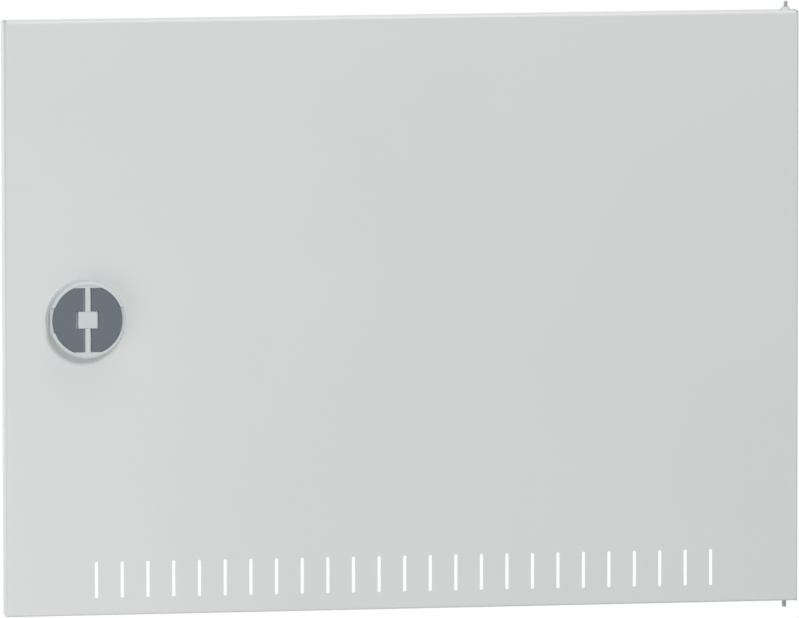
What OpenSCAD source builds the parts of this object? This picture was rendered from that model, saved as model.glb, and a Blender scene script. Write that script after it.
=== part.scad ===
// Door of a wall cabinet for rack and network equipment. One sheet of steel is folded into a shallow
// tray with a row of ventilation slots. A quarter-turn latch holds it shut, and it hangs on two hinge
// pins, of which the upper one is sprung and pulls down to take the door off.
// The origin is on the hinge axis at the lower edge of the leaf. +X points to the hinge side,
// +Z points up, and the front face looks along -Y.

/* [Door leaf] */
// Width of the leaf
leaf_w = 773; // [750:1:1000]
// Height of the leaf
leaf_h = 574; // [450:1:900]
// Depth of the leaf, from its front face to the back of its lips
leaf_depth = 25; // [23:0.5:40]
// Thickness of the sheet
sheet_t = 1.25; // [1:0.05:1.5]
// Inside radius of the folds
fold_r = 1; // [0.8:0.1:1.5]
// Width of the lips behind the leaf, measured from its edge
lip_w = 12; // [11:0.5:14]
// Gap of the seams at the corners
seam_gap = 0.4; // [0.2:0.1:0.8]

/* [Ventilation slots] */
// Number of slots in the row
slot_count = 25; // [5:1:26]
// Distance from slot to slot
slot_pitch = 25; // [10:0.5:26]
// Width of a slot
slot_w = 3.2; // [2:0.1:6]
// Length of a slot, over its round ends
slot_l = 35.2; // [20:0.1:50]
// Distance from the latch edge of the leaf to the first slot
slot_first_x = 87.4; // [60:0.1:100]
// Height of the middle of the row
slot_z = 34.4; // [32:0.1:45]

/* [Stiffener] */
// Width of the raised part of the stiffener
stiffener_w = 30; // [24:1:50]
// Height of the stiffener above the sheet
stiffener_h = 16; // [10:0.5:20]
// Width of each foot of the stiffener
stiffener_foot = 14; // [10:1:20]
// Thickness of the stiffener
stiffener_t = 1; // [0.8:0.1:1.5]
// Gap between the stiffener and the slots below it
stiffener_low_gap = 14; // [10:1:40]
// Gap between the stiffener and the top of the leaf
stiffener_top_gap = 30; // [20:1:60]

/* [Hinge pins] */
// Distance from the hinge edge of the leaf to the pins' axis
pin_inset = 11; // [10:0.5:14]
// Distance from the front face to the pins' axis
pin_setback = 12; // [11:0.5:12.5]
// Diameter of the pins where they stand out of the leaf
journal_d = 4.2; // [3:0.1:4.6]
// Diameter of the pins inside the leaf
shank_d = 5; // [4.8:0.1:6]
// Length of the upper pin above its bush
upper_journal_l = 5.6; // [4:0.1:9]
// Length of the lower pin below the leaf
lower_journal_l = 7.2; // [5:0.1:12]
// Chamfer at the tips of the pins
pin_chamfer = 0.5; // [0.3:0.1:1]
// Radial clearance of what slides or turns
running_gap = 0.08; // [0.05:0.01:0.1]
// Height of the bush above the leaf
bush_h = 3.3; // [2:0.1:5]
// Diameter of the bush where it meets the leaf
bush_base_d = 11; // [9:0.1:13]
// Diameter of the bush at its top
bush_top_d = 6.8; // [6.6:0.1:8]
// Diameter of the hole for the bush
bush_hole_d = 8; // [7.6:0.1:8.5]
// Thickness of the bush's inner rim
bush_rim_t = 1.2; // [0.8:0.1:2]

/* [Pin brackets] */
// Thickness of the brackets
bracket_t = 2; // [1.5:0.1:2.5]
// Inside radius of the brackets' folds
bracket_r = 1.5; // [1:0.1:2]
// Width of the brackets, from front to back
bracket_w = 16; // [14:0.5:18]
// Reach of the brackets' ears past the pins' axis
ear_reach = 9; // [7:0.5:14]
// Height of the upper bracket
upper_bracket_h = 29; // [28:0.5:44]
// Gap between the upper bracket and the top of the leaf
upper_bracket_gap = 18; // [12:0.5:30]
// Height of the lower bracket's ear above the bottom of the leaf
lower_ear_z = 20; // [14:0.5:40]
// Outer diameter of the clips on the pins
clip_d = 10; // [9:0.1:11]
// Thickness of the clips on the pins
clip_t = 1; // [0.8:0.1:1.5]

/* [Pin spring and grip] */
// Diameter of the spring's wire
spring_wire_d = 0.9; // [0.6:0.1:0.9]
// Number of turns of the spring
spring_turns = 15; // [8:1:15]
// Radial gap between the spring and the pin
spring_gap = 0.5; // [0.3:0.1:0.8]
// Gap between the lower ear and the bend of the pin
grip_gap = 6; // [4:0.5:12]
// Radius of the bend at the middle of the pin
grip_bend_r = 5; // [4:0.5:8]
// Length of the grip past the bend
grip_l = 20; // [14:1:30]

/* [Latch place] */
// Distance from the latch edge of the leaf to the latch's axis
latch_x = 78; // [70:0.5:110]
// Height of the latch's axis
latch_z = 287.5; // [200:0.5:400]

/* [Latch handle] */
// Outer radius of the handle
handle_r = 37.4; // [36.5:0.1:38]
// Height of the handle's ring above the front face
handle_h = 15; // [14:0.1:18]
// Radius of the handle's front edge
handle_edge_r = 2.4; // [1:0.1:3]
// Radius of the round field inside the ring
field_r = 33.8; // [32:0.1:34]
// Depth of the bars and end pieces below the ring
field_drop = 0.6; // [0.3:0.1:1]
// Half height of the inserts, from the axis to their straight ends
insert_half_h = 31; // [28:0.1:31.5]
// Depth of the inserts' faces below the ring
insert_drop = 1.2; // [0.7:0.1:2]
// Thickness of the inserts
insert_t = 2.2; // [1.5:0.1:2.5]
// Width of the bar between the inserts
bar_w = 4.7; // [3.5:0.1:6]
// Width of the slit beside the bar and the cap
slit_w = 1.6; // [1:0.1:2.2]
// Depth of the slit below the inserts' seat
slit_drop = 1; // [0.5:0.1:1.2]
// Gap around the inserts and the cap
seat_gap = 0.1; // [0.05:0.01:0.15]
// Width of the cap in the middle
cap_w = 18.5; // [16:0.1:20]
// Height of the cap in the middle
cap_h = 16.5; // [15:0.1:18]
// Thickness of the cap's plate
cap_t = 2; // [1.2:0.1:2.2]
// Depth of the cap's plug
plug_l = 3; // [2:0.1:3.2]
// Half height of the finger grips at the sides
grip_half_h = 12.1; // [9:0.1:14]
// Distance from the axis to the flats of the finger grips
grip_flat_x = 35.7; // [35:0.1:36]
// Depth of the finger grips below the ring
grip_drop = 3.1; // [2.4:0.1:3.3]
// Thickness of the handle's skirt and ribs
skirt_t = 2.4; // [1.5:0.1:3]
// Thickness of the handle's plate
plate_t = 3; // [2:0.1:3.5]
// Number of ribs under the plate
rib_count = 8; // [4:1:12]
// Radius of the hub that turns in the rose
hub_r = 8; // [7.8:0.05:8.2]
// Radius of the boss around the hub
boss_r = 11; // [10:0.1:13]

/* [Latch rose] */
// Radius of the fixed rose under the handle
rose_r = 38.6; // [38.2:0.1:42]
// Thickness of the rose
rose_t = 3.1; // [2.4:0.1:4]
// Radius of the rose's front edge
rose_edge_r = 0.9; // [0.5:0.1:1.2]
// Gap between parts that turn and their fixed neighbours
turn_gap = 0.3; // [0.25:0.01:0.5]
// Radius of the rose's tube
tube_r = 12; // [11.5:0.1:13]
// Distance across the flats of the tube
tube_flats = 21; // [20:0.1:22]
// Length of the tube behind the front face
tube_l = 9.2; // [8.5:0.1:12]
// Gap between the tube and its hole in the leaf
hole_gap = 0.15; // [0.1:0.01:0.3]
// Outer radius of the gasket
gasket_r = 36.5; // [34:0.1:37.5]
// Width of the gasket
gasket_w = 3.5; // [2:0.1:5]
// Thickness of the gasket
gasket_t = 0.8; // [0.5:0.1:1.5]
// Distance across the flats of the tube's nut
tube_nut_af = 32; // [30:0.5:36]
// Thickness of the tube's nut
tube_nut_t = 4; // [3:0.1:5]

/* [Latch cam] */
// Angle through which the latch turns
latch_turn = 90; // [60:5:90]
// Width of the stop on the tube, as an angle
stop_angle = 24; // [16:1:40]
// Play of the stop at each end, as an angle
stop_play = 2; // [1.5:0.5:4]
// Radius of the stop disc
stop_disc_r = 13.5; // [13:0.1:16]
// Thickness of the stop disc
stop_disc_t = 2; // [1.5:0.1:3]
// Inner radius of the stop and of the notch that it runs in
stop_inner_r = 9.2; // [8.8:0.1:9.6]
// Width of the square spindle
spindle_w = 8; // [7:0.1:8.5]
// Length of the spindle inside the hub
spindle_in = 11.2; // [9:0.1:12]
// Diameter of the spindle's thread
spindle_thread_d = 8; // [6:0.1:8]
// Thickness of the cam
cam_t = 3; // [2:0.1:4]
// Width of the cam's tongue
cam_w = 22; // [18:0.5:26]
// Radius of the cam's hub end
cam_hub_r = 13; // [12:0.1:15]
// Distance from the axis to the tip of the cam
cam_reach = 62; // [56:0.5:64]
// Distance from the axis to the cam's first bend
cam_bend_x = 14; // [12:0.5:16]
// Set of the cam's tongue behind its hub end
cam_set = 16.5; // [12:0.5:20]
// Inside radius of the cam's bends
cam_bend_r = 2; // [1.5:0.1:3]
// Angle of the cam's bends
cam_bend_angle = 50; // [35:1:60]
// Corner radius of the cam's tip
cam_corner_r = 4; // [2:0.5:6]
// Thickness of the washer behind the cam
cam_washer_t = 1.5; // [1:0.1:2]
// Outer diameter of the washer behind the cam
cam_washer_d = 16; // [14:0.5:18]
// Distance across the flats of the cam's nut
cam_nut_af = 13; // [12:0.5:15]
// Thickness of the cam's nut
cam_nut_t = 6.5; // [4:0.1:8]

/* [Handle screw] */
// Diameter of the screw
screw_d = 5; // [4:0.1:5]
// Diameter of the screw's head
screw_head_d = 9.4; // [8:0.1:9.6]
// Height of the screw's head
screw_head_h = 3.2; // [2.4:0.1:3.4]
// Length of the screw in the spindle
screw_grip_l = 10; // [6:0.5:12]

/* [Earth stud] */
// Distance from the hinge edge of the leaf to the stud
stud_from_edge = 60; // [45:1:120]
// Height of the stud
stud_z = 100; // [75:1:160]
// Outer diameter of the stud's free thread
stud_d = 6; // [5.5:0.1:8]
// Diameter of the thread inside the nut
stud_engaged_d = 5.35; // [5:0.05:5.4]
// Length of the free thread
stud_free_l = 8; // [5:0.5:14]
// Diameter of the stud's welded foot
stud_foot_d = 9; // [8.5:0.1:12]
// Thickness of the stud's welded foot
stud_foot_t = 0.8; // [0.5:0.1:1.5]
// Distance across the flats of the stud's nut
stud_nut_af = 10; // [9.5:0.5:13]
// Thickness of the stud's nut
stud_nut_t = 5; // [4:0.1:6]
// Outer diameter of the toothed washer
stud_washer_d = 11; // [10.5:0.1:14]
// Thickness of the toothed washer
stud_washer_t = 1; // [0.6:0.1:1.4]
// Number of teeth on the washer
washer_teeth = 12; // [8:1:16]

/* [Buffers] */
// Distance from the latch edge of the leaf to the buffers
buffer_x = 7; // [6.5:0.1:7.5]
// Distance from the top and bottom of the leaf to the buffers
buffer_from_end = 60; // [30:1:120]
// Diameter of the buffers' heads
buffer_d = 8; // [7:0.1:8.4]
// Height of the buffers' heads behind the lip
buffer_h = 3; // [2.5:0.1:4]
// Radius of the heads' edge
buffer_edge_r = 1.2; // [0.5:0.1:1.2]
// Diameter of the buffers' necks
buffer_neck_d = 4.2; // [3.5:0.1:5]
// Diameter of the buffers' barbs
buffer_barb_d = 6; // [5.6:0.1:6.8]
// Length of the buffers' barbs
buffer_barb_l = 3.5; // [2.5:0.1:5]

/* [Hidden] */
$fn = 64;

eps = 0.01;
fold_outer_r = fold_r + sheet_t;

paint = "gainsboro";
steel = "silver";
bright_zinc = "lightgray";
grey_plastic = "#c7cdcd";
dark_plastic = "#606971";
rubber = "#2b2c2e";

// Hinge pins
shank_r = shank_d / 2;
journal_r = journal_d / 2;
guide_r = shank_r + running_gap;
return_inner_x = pin_inset - sheet_t;
bush_top_z = leaf_h + bush_h;
upper_ear_top_z = leaf_h - upper_bracket_gap;
lower_ear_bottom_z = upper_ear_top_z - upper_bracket_h;
clip_top_z = upper_ear_top_z - bracket_t - running_gap;
spring_top_z = clip_top_z - clip_t;
spring_bottom_z = lower_ear_bottom_z + bracket_t;
spring_r = shank_r + spring_gap + spring_wire_d / 2;
grip_bend_z = lower_ear_bottom_z - grip_gap;
collar_r = shank_r + 1.5;
collar_t = 2;

// Latch, along its own axis: 0 is the front face of the leaf and the front is positive
handle_back_z = rose_t + turn_gap;
field_z = handle_h - field_drop;
insert_z = handle_h - insert_drop;
seat_z = insert_z - insert_t;
plate_back_z = seat_z - plate_t;
hollow_r = grip_flat_x - skirt_t;
grip_floor_z = handle_h - grip_drop;
cap_seat_z = field_z - cap_t;
plug_w = cap_w - 5;
plug_h = cap_h - 5;
plug_end_z = cap_seat_z - plug_l;
screw_seat_z = plug_end_z - screw_head_h - turn_gap;
hub_end_z = -tube_l - turn_gap;
spindle_top_z = hub_end_z + spindle_in;
stop_disc_back_z = hub_end_z - stop_disc_t;
cam_back_z = stop_disc_back_z - cam_t;
washer_back_z = cam_back_z - cam_washer_t;
cam_nut_back_z = washer_back_z - cam_nut_t;

// Front-to-back places inside the leaf
stud_washer_y = sheet_t + stud_foot_t;
stud_nut_y = stud_washer_y + stud_washer_t;
stud_free_y = stud_nut_y + stud_nut_t;

// ---------- Shared shapes ----------

// Places what is given from the latch edge, the front face and the lower edge of the leaf
module in_leaf() {
    translate([pin_inset - leaf_w, -pin_setback, 0])
        children();
}

// Places what is given along the latch's axis, with its front to the front of the leaf
module in_latch() {
    in_leaf()
        translate([latch_x, 0, latch_z])
            rotate([90, 0, 0])
                children();
}

// Section of a folded strip. Its legs follow one another along +X with a fold after each leg but the
// last: a positive turn folds to the left and a negative one to the right. The strip is t thick.
module folded_strip(legs, turns, t, r, i = 0) {
    square([legs[i], t]);
    if (i < len(turns)) {
        turn = turns[i];
        centre_y = turn > 0 ? t + r : -r;
        translate([legs[i], centre_y]) {
            rotate(turn > 0 ? -90 : 90 + turn)
                ring_sector(r, r + t, abs(turn));
            rotate(turn)
                translate([0, -centre_y])
                    folded_strip(legs, turns, t, r, i + 1);
        }
    }
}

// Sector of a flat ring, from the X axis through an angle of at most 90 degrees
module ring_sector(inner_r, outer_r, angle) {
    far = 2 * outer_r;
    intersection() {
        difference() {
            circle(r = outer_r);
            circle(r = inner_r);
        }
        polygon([[0, 0], [far, 0], 1.5 * [far * cos(angle / 2), far * sin(angle / 2)],
                 [far * cos(angle), far * sin(angle)]]);
    }
}

// Flat ring that lies on the XY plane
module ring(outer_r, inner_r, h) {
    difference() {
        cylinder(r = outer_r, h = h);
        translate([0, 0, -1])
            cylinder(r = inner_r, h = h + 2);
    }
}

// Disc on the XY plane with a rounded upper edge
module rounded_disc(r, h, edge_r) {
    rotate_extrude($fn = 128) {
        square([r, h - edge_r]);
        square([r - edge_r, h]);
        translate([r - edge_r, h - edge_r])
            circle(r = edge_r, $fn = 48);
    }
}

// Rod on the XY plane with a chamfered upper end
module chamfered_rod(r, h, chamfer) {
    rotate_extrude()
        polygon([[0, 0], [r, 0], [r, h - chamfer], [r - chamfer, h], [0, h]]);
}

// Hexagonal nut with chamfered corners, on the XY plane
module hex_nut(af, bore_r, h) {
    corner_r = af / sqrt(3);
    chamfer = (corner_r - af / 2) * tan(30);
    difference() {
        intersection() {
            cylinder(r = corner_r, h = h, $fn = 6);
            rotate_extrude()
                polygon([[0, 0], [af / 2, 0], [corner_r + eps, chamfer], [corner_r + eps, h - chamfer],
                         [af / 2, h], [0, h]]);
        }
        translate([0, 0, -1])
            cylinder(r = bore_r, h = h + 2);
    }
}

// Flat rectangle from x0 to x1 with round corners, centred across
module round_rectangle(x0, x1, w, r) {
    translate([x0 + r, -w / 2])
        square([x1 - x0 - 2 * r, w]);
    translate([x0, r - w / 2])
        square([x1 - x0, w - 2 * r]);
    for (x = [x0 + r, x1 - r], y = [r - w / 2, w / 2 - r])
        translate([x, y])
            circle(r = r);
}

// ---------- Door leaf ----------

// Length of folded edge: the front fold, the return and the back fold, along +Z
module folded_edge(run) {
    return_l = leaf_depth - 2 * fold_outer_r;
    linear_extrude(height = run)
        translate([fold_outer_r + eps, 0])
            mirror([1, 0])
                folded_strip([eps, return_l, eps], [90, 90], sheet_t, fold_r);
}

// Lip along one edge, with mitred ends; the edge runs along +X and the lip widens along +Y
module lip(run) {
    start = fold_outer_r + seam_gap;
    linear_extrude(height = sheet_t)
        polygon([[start, fold_outer_r - eps], [lip_w + seam_gap, lip_w],
                 [run - lip_w - seam_gap, lip_w], [run - start, fold_outer_r - eps]]);
}

module vent_slot() {
    end_z = (slot_l - slot_w) / 2;
    translate([-slot_w / 2, -1, -end_z])
        cube([slot_w, sheet_t + 2, 2 * end_z]);
    for (z = [-end_z, end_z])
        translate([0, -1, z])
            rotate([-90, 0, 0])
                cylinder(d = slot_w, h = sheet_t + 2, $fn = 24);
}

module leaf_sheet() {
    inner = fold_outer_r + seam_gap;
    translate([fold_outer_r, 0, fold_outer_r])
        cube([leaf_w - 2 * fold_outer_r, sheet_t, leaf_h - 2 * fold_outer_r]);
    // The side edges run the full height
    folded_edge(leaf_h);
    translate([leaf_w, 0, 0])
        mirror([1, 0, 0])
            folded_edge(leaf_h);
    // The upper and lower edges stand between them
    translate([inner, 0, leaf_h])
        rotate([0, 90, 0])
            folded_edge(leaf_w - 2 * inner);
    translate([leaf_w - inner, 0, 0])
        rotate([0, -90, 0])
            folded_edge(leaf_w - 2 * inner);
    translate([0, leaf_depth, 0])
        rotate([90, 0, 0])
            lip(leaf_w);
    translate([0, leaf_depth, leaf_h])
        mirror([0, 0, 1])
            rotate([90, 0, 0])
                lip(leaf_w);
    translate([0, leaf_depth, 0])
        rotate([90, 0, 0])
            mirror([1, -1, 0])
                lip(leaf_h);
    translate([leaf_w, leaf_depth, 0])
        mirror([1, 0, 0])
            rotate([90, 0, 0])
                mirror([1, -1, 0])
                    lip(leaf_h);
}

module tube_hole() {
    translate([0, 0, -sheet_t - 1])
        linear_extrude(height = sheet_t + 2)
            tube_section(hole_gap);
}

// Outline of the rose's tube: a circle with two flats
module tube_section(gap) {
    intersection() {
        circle(r = tube_r + gap);
        square([tube_flats + 2 * gap, 2 * tube_r + 4], center = true);
    }
}

module door_leaf() {
    color(paint)
        difference() {
            in_leaf()
                leaf_sheet();
            in_leaf()
                for (i = [0 : slot_count - 1])
                    translate([slot_first_x + i * slot_pitch, 0, slot_z])
                        vent_slot();
            in_latch()
                tube_hole();
            translate([0, 0, leaf_h - sheet_t - 1])
                cylinder(d = bush_hole_d, h = sheet_t + 2);
            translate([0, 0, -1])
                cylinder(r = shank_r, h = sheet_t + 2);
            for (z = [buffer_from_end, leaf_h - buffer_from_end])
                in_buffer(z)
                    translate([0, 0, -sheet_t - 1])
                        cylinder(d = buffer_neck_d, h = sheet_t + 2);
        }
}

module centre_stiffener() {
    low_z = slot_z + slot_l / 2 + stiffener_low_gap;
    bend = stiffener_t + fold_r;
    foot = stiffener_foot - fold_r;
    web = stiffener_h - 2 * bend + stiffener_t;
    crown = stiffener_w - 2 * bend;
    full_w = 2 * foot + 2 * fold_r + stiffener_w;
    color(paint)
        in_leaf()
            translate([(leaf_w - full_w) / 2, sheet_t, low_z])
                linear_extrude(height = leaf_h - stiffener_top_gap - low_z)
                    folded_strip([foot, web - stiffener_t, crown, web - stiffener_t, foot],
                                 [90, -90, -90, 90], stiffener_t, fold_r);
}

// ---------- Hinge pins ----------

// Folded bracket: ears reach over the pins' axis and the web lies on the return of the leaf
module bracket_strip(web_l, turns) {
    ear_l = return_inner_x + ear_reach - bracket_r - bracket_t;
    legs = len(turns) == 2 ? [ear_l, web_l, ear_l] : [ear_l, web_l];
    translate([-ear_reach, 0, -bracket_t])
        rotate([90, 0, 0])
            linear_extrude(height = bracket_w, center = true)
                folded_strip(legs, turns, bracket_t, bracket_r);
}

module upper_pin_bracket() {
    color(steel)
        difference() {
            translate([0, 0, upper_ear_top_z])
                bracket_strip(upper_bracket_h - 2 * (bracket_r + bracket_t), [-90, -90]);
            translate([0, 0, lower_ear_bottom_z - 1])
                cylinder(r = guide_r, h = upper_bracket_h + 2);
        }
}

module upper_pin_bush() {
    rim_r = bush_hole_d / 2 + 1;
    color(grey_plastic)
        rotate_extrude()
            polygon([[guide_r, leaf_h - sheet_t - bush_rim_t], [rim_r, leaf_h - sheet_t - bush_rim_t],
                     [rim_r, leaf_h - sheet_t], [bush_hole_d / 2, leaf_h - sheet_t],
                     [bush_hole_d / 2, leaf_h], [bush_base_d / 2, leaf_h],
                     [bush_top_d / 2, bush_top_z], [guide_r, bush_top_z]]);
}

// Round bar with a shouldered tip, bent at its lower end into a grip
module upper_hinge_pin() {
    color(bright_zinc) {
        translate([0, 0, grip_bend_z])
            cylinder(r = shank_r, h = bush_top_z - grip_bend_z);
        translate([0, 0, bush_top_z])
            chamfered_rod(journal_r, upper_journal_l, pin_chamfer);
        translate([-grip_bend_r, 0, grip_bend_z])
            rotate([-90, 0, 0])
                rotate_extrude(angle = 90)
                    translate([grip_bend_r, 0])
                        circle(r = shank_r);
        translate([-grip_bend_r, 0, grip_bend_z - grip_bend_r])
            rotate([0, -90, 0])
                chamfered_rod(shank_r, grip_l, pin_chamfer);
    }
}

module pin_clip() {
    color(bright_zinc)
        translate([0, 0, clip_top_z - clip_t])
            ring(clip_d / 2, shank_r, clip_t);
}

// Height of the wire's middle after a number of turns; the first and the last turn lie closed
function spring_rise(turn) =
    let (span = spring_top_z - spring_bottom_z - spring_wire_d,
         closed = spring_wire_d,
         open_turns = spring_turns - 2,
         open_rise = span - 2 * closed)
    turn < 1 ? closed * turn
    : turn > spring_turns - 1 ? span - closed * (spring_turns - turn)
    : closed + open_rise * (turn - 1) / open_turns;

module pin_spring() {
    steps = 16;
    sides = 6;
    rings = spring_turns * steps;
    wire_r = spring_wire_d / 2;
    low_z = spring_bottom_z + wire_r;
    points = [for (i = [0 : rings], k = [0 : sides - 1])
        let (a = 360 * i / steps, b = 360 * k / sides, reach = spring_r + wire_r * cos(b))
        [reach * cos(a), reach * sin(a), low_z + spring_rise(i / steps) + wire_r * sin(b)]];
    walls = [for (i = [0 : rings - 1], k = [0 : sides - 1])
        let (n = (k + 1) % sides)
        [i * sides + k, i * sides + n, (i + 1) * sides + n, (i + 1) * sides + k]];
    first_end = [for (k = [sides - 1 : -1 : 0]) k];
    last_end = [for (k = [0 : sides - 1]) rings * sides + k];
    color(steel)
        polyhedron(points = points, faces = concat(walls, [first_end, last_end]), convexity = 10);
}

// Turned pin: its journal stands out below the leaf and its collar rests inside
module lower_hinge_pin() {
    top_z = lower_ear_z + clip_t + 2;
    color(bright_zinc) {
        rotate([180, 0, 0])
            chamfered_rod(journal_r, lower_journal_l, pin_chamfer);
        chamfered_rod(shank_r, top_z, pin_chamfer);
        translate([0, 0, sheet_t])
            ring(collar_r, shank_r - eps, collar_t);
    }
}

module lower_pin_bracket() {
    web_l = lower_ear_z - bracket_t - bracket_r - fold_outer_r - 1;
    color(steel)
        difference() {
            translate([0, 0, lower_ear_z])
                bracket_strip(web_l, [-90]);
            translate([0, 0, lower_ear_z - bracket_t - 1])
                cylinder(r = shank_r, h = bracket_t + 2);
        }
}

module lower_pin_clip() {
    color(bright_zinc)
        translate([0, 0, lower_ear_z])
            ring(clip_d / 2, shank_r, clip_t);
}

// ---------- Latch ----------

// Fixed rose with a tube through the leaf; the stop stands on the end of the tube
module latch_rose() {
    stop_start = 90 - stop_angle / 2;
    color(grey_plastic)
        in_latch() {
            difference() {
                union() {
                    rounded_disc(rose_r, rose_t, rose_edge_r);
                    translate([0, 0, -tube_l])
                        linear_extrude(height = tube_l + eps)
                            tube_section(0);
                }
                translate([0, 0, -tube_l - 1])
                    cylinder(r = hub_r + running_gap, h = tube_l + rose_t + 2);
                translate([0, 0, -1])
                    ring(gasket_r, gasket_r - gasket_w, gasket_t + 1);
            }
            translate([0, 0, -tube_l - stop_disc_t])
                rotate([0, 0, stop_start])
                    rotate_extrude(angle = stop_angle)
                        translate([stop_inner_r, 0])
                            square([tube_r - stop_inner_r, stop_disc_t + eps]);
        }
}

module rose_gasket() {
    color(rubber)
        in_latch()
            ring(gasket_r, gasket_r - gasket_w, gasket_t);
}

module rose_nut() {
    color(bright_zinc)
        in_latch()
            translate([0, 0, -sheet_t - tube_nut_t])
                hex_nut(tube_nut_af, tube_r, tube_nut_t);
}

// Outline of the round field between the straight ends of the inserts
module field_outline(gap) {
    intersection() {
        circle(r = field_r - gap, $fn = 128);
        square([3 * field_r, 2 * (insert_half_h - gap)], center = true);
    }
}

// Outline of the bar and of the pad under the cap, widened to the sides by a margin
module bar_outline(side_margin, end_margin) {
    square([bar_w + 2 * side_margin, 2 * field_r], center = true);
    square([cap_w + 2 * side_margin, cap_h + 2 * end_margin], center = true);
}

// Grip to one side: a flat on the skirt, and a floor below the ring and above the insert's seat
module finger_grip() {
    translate([grip_flat_x, -grip_half_h, 0])
        cube([handle_r, 2 * grip_half_h, handle_h + 1]);
    translate([field_r / 2, -grip_half_h, grip_floor_z])
        cube([handle_r, 2 * grip_half_h, grip_drop + 1]);
}

module latch_handle() {
    color(grey_plastic)
        in_latch()
            difference() {
                union() {
                    difference() {
                        translate([0, 0, handle_back_z])
                            rounded_disc(handle_r, handle_h - handle_back_z, handle_edge_r);
                        // Field inside the ring
                        translate([0, 0, field_z])
                            cylinder(r = field_r, h = field_drop + 1, $fn = 128);
                        // Seats of the inserts
                        translate([0, 0, seat_z])
                            linear_extrude(height = handle_h)
                                difference() {
                                    field_outline(0);
                                    bar_outline(0, 0);
                                }
                        // Slits beside the bar and the cap
                        translate([0, 0, seat_z - slit_drop])
                            linear_extrude(height = handle_h)
                                difference() {
                                    intersection() {
                                        field_outline(0);
                                        bar_outline(slit_w, 0);
                                    }
                                    bar_outline(0, 0);
                                }
                        // Seat of the cap
                        translate([0, 0, cap_seat_z])
                            linear_extrude(height = handle_h)
                                square([cap_w, cap_h], center = true);
                        for (side = [0, 180])
                            rotate([0, 0, side])
                                finger_grip();
                        // Hollow under the plate
                        translate([0, 0, handle_back_z - 1])
                            ring(hollow_r, boss_r, plate_back_z - handle_back_z + 1);
                    }
                    // Ribs under the plate
                    for (i = [0 : rib_count - 1])
                        rotate([0, 0, (i + 0.5) * 360 / rib_count])
                            translate([boss_r - 0.5, -skirt_t / 2, handle_back_z])
                                cube([hollow_r - boss_r + 1, skirt_t, plate_back_z - handle_back_z]);
                    // Hub
                    translate([0, 0, hub_end_z])
                        cylinder(r = hub_r, h = handle_back_z - hub_end_z + eps);
                }
                // Socket of the cap's plug
                translate([0, 0, plug_end_z])
                    linear_extrude(height = handle_h)
                        square([plug_w + 2 * seat_gap, plug_h + 2 * seat_gap], center = true);
                // Seat and hole of the screw
                translate([0, 0, screw_seat_z])
                    cylinder(d = screw_head_d + 4 * seat_gap, h = handle_h);
                cylinder(d = screw_d + 4 * seat_gap, h = handle_h);
                // Socket of the spindle
                translate([0, 0, hub_end_z - 1])
                    linear_extrude(height = spindle_in + 1)
                        square(spindle_w, center = true);
            }
}

// Half of the field, with the slit left free beside the bar and the cap
module half_insert(side) {
    color(dark_plastic)
        in_latch()
            translate([0, 0, seat_z])
                linear_extrude(height = insert_t)
                    difference() {
                        field_outline(seat_gap);
                        bar_outline(slit_w, seat_gap);
                        translate([side > 0 ? -2 * field_r : 0, -2 * field_r])
                            square([2 * field_r, 4 * field_r]);
                    }
}

module left_insert() {
    half_insert(-1);
}

module right_insert() {
    half_insert(1);
}

module centre_cap() {
    color(grey_plastic)
        in_latch() {
            translate([0, 0, cap_seat_z])
                linear_extrude(height = cap_t)
                    square([cap_w, cap_h] - [2, 2] * seat_gap, center = true);
            translate([0, 0, plug_end_z])
                linear_extrude(height = plug_l + eps)
                    square([plug_w, plug_h], center = true);
        }
}

module handle_screw() {
    slot_depth = screw_head_h / 2;
    color(bright_zinc)
        in_latch()
            difference() {
                union() {
                    translate([0, 0, screw_seat_z])
                        rounded_disc(screw_head_d / 2, screw_head_h, screw_head_h / 2);
                    translate([0, 0, spindle_top_z - screw_grip_l])
                        cylinder(d = screw_d, h = screw_seat_z - spindle_top_z + screw_grip_l + eps);
                }
                // Cross recess
                for (a = [0, 90])
                    rotate([0, 0, a])
                        translate([-screw_head_d / 4, -0.5, screw_seat_z + screw_head_h - slot_depth])
                            cube([screw_head_d / 2, 1, slot_depth + 1]);
            }
}

// Square bar with a threaded end
module latch_spindle() {
    square_end_z = cam_back_z + 0.2;
    thread_l = square_end_z - cam_nut_back_z + 1.5;
    color(steel)
        in_latch()
            difference() {
                union() {
                    translate([0, 0, square_end_z])
                        linear_extrude(height = spindle_top_z - square_end_z)
                            square(spindle_w, center = true);
                    translate([0, 0, square_end_z + eps])
                        rotate([180, 0, 0])
                            chamfered_rod(spindle_thread_d / 2, thread_l, 0.8);
                }
                translate([0, 0, spindle_top_z - screw_grip_l - 1])
                    cylinder(d = screw_d, h = screw_grip_l + 2);
            }
}

// Disc that turns with the spindle; its notch runs over the stop of the rose
module stop_disc() {
    notch_start = 90 - stop_angle / 2 - latch_turn - stop_play;
    notch_angle = stop_angle + latch_turn + 2 * stop_play;
    color(steel)
        in_latch()
            difference() {
                translate([0, 0, stop_disc_back_z])
                    cylinder(r = stop_disc_r, h = stop_disc_t);
                translate([0, 0, stop_disc_back_z - 1])
                    rotate([0, 0, notch_start])
                        rotate_extrude(angle = notch_angle)
                            translate([stop_inner_r - turn_gap, 0])
                                square([stop_disc_r, stop_disc_t + 2]);
                translate([0, 0, stop_disc_back_z - 1])
                    linear_extrude(height = stop_disc_t + 2)
                        square(spindle_w, center = true);
            }
}

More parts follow.
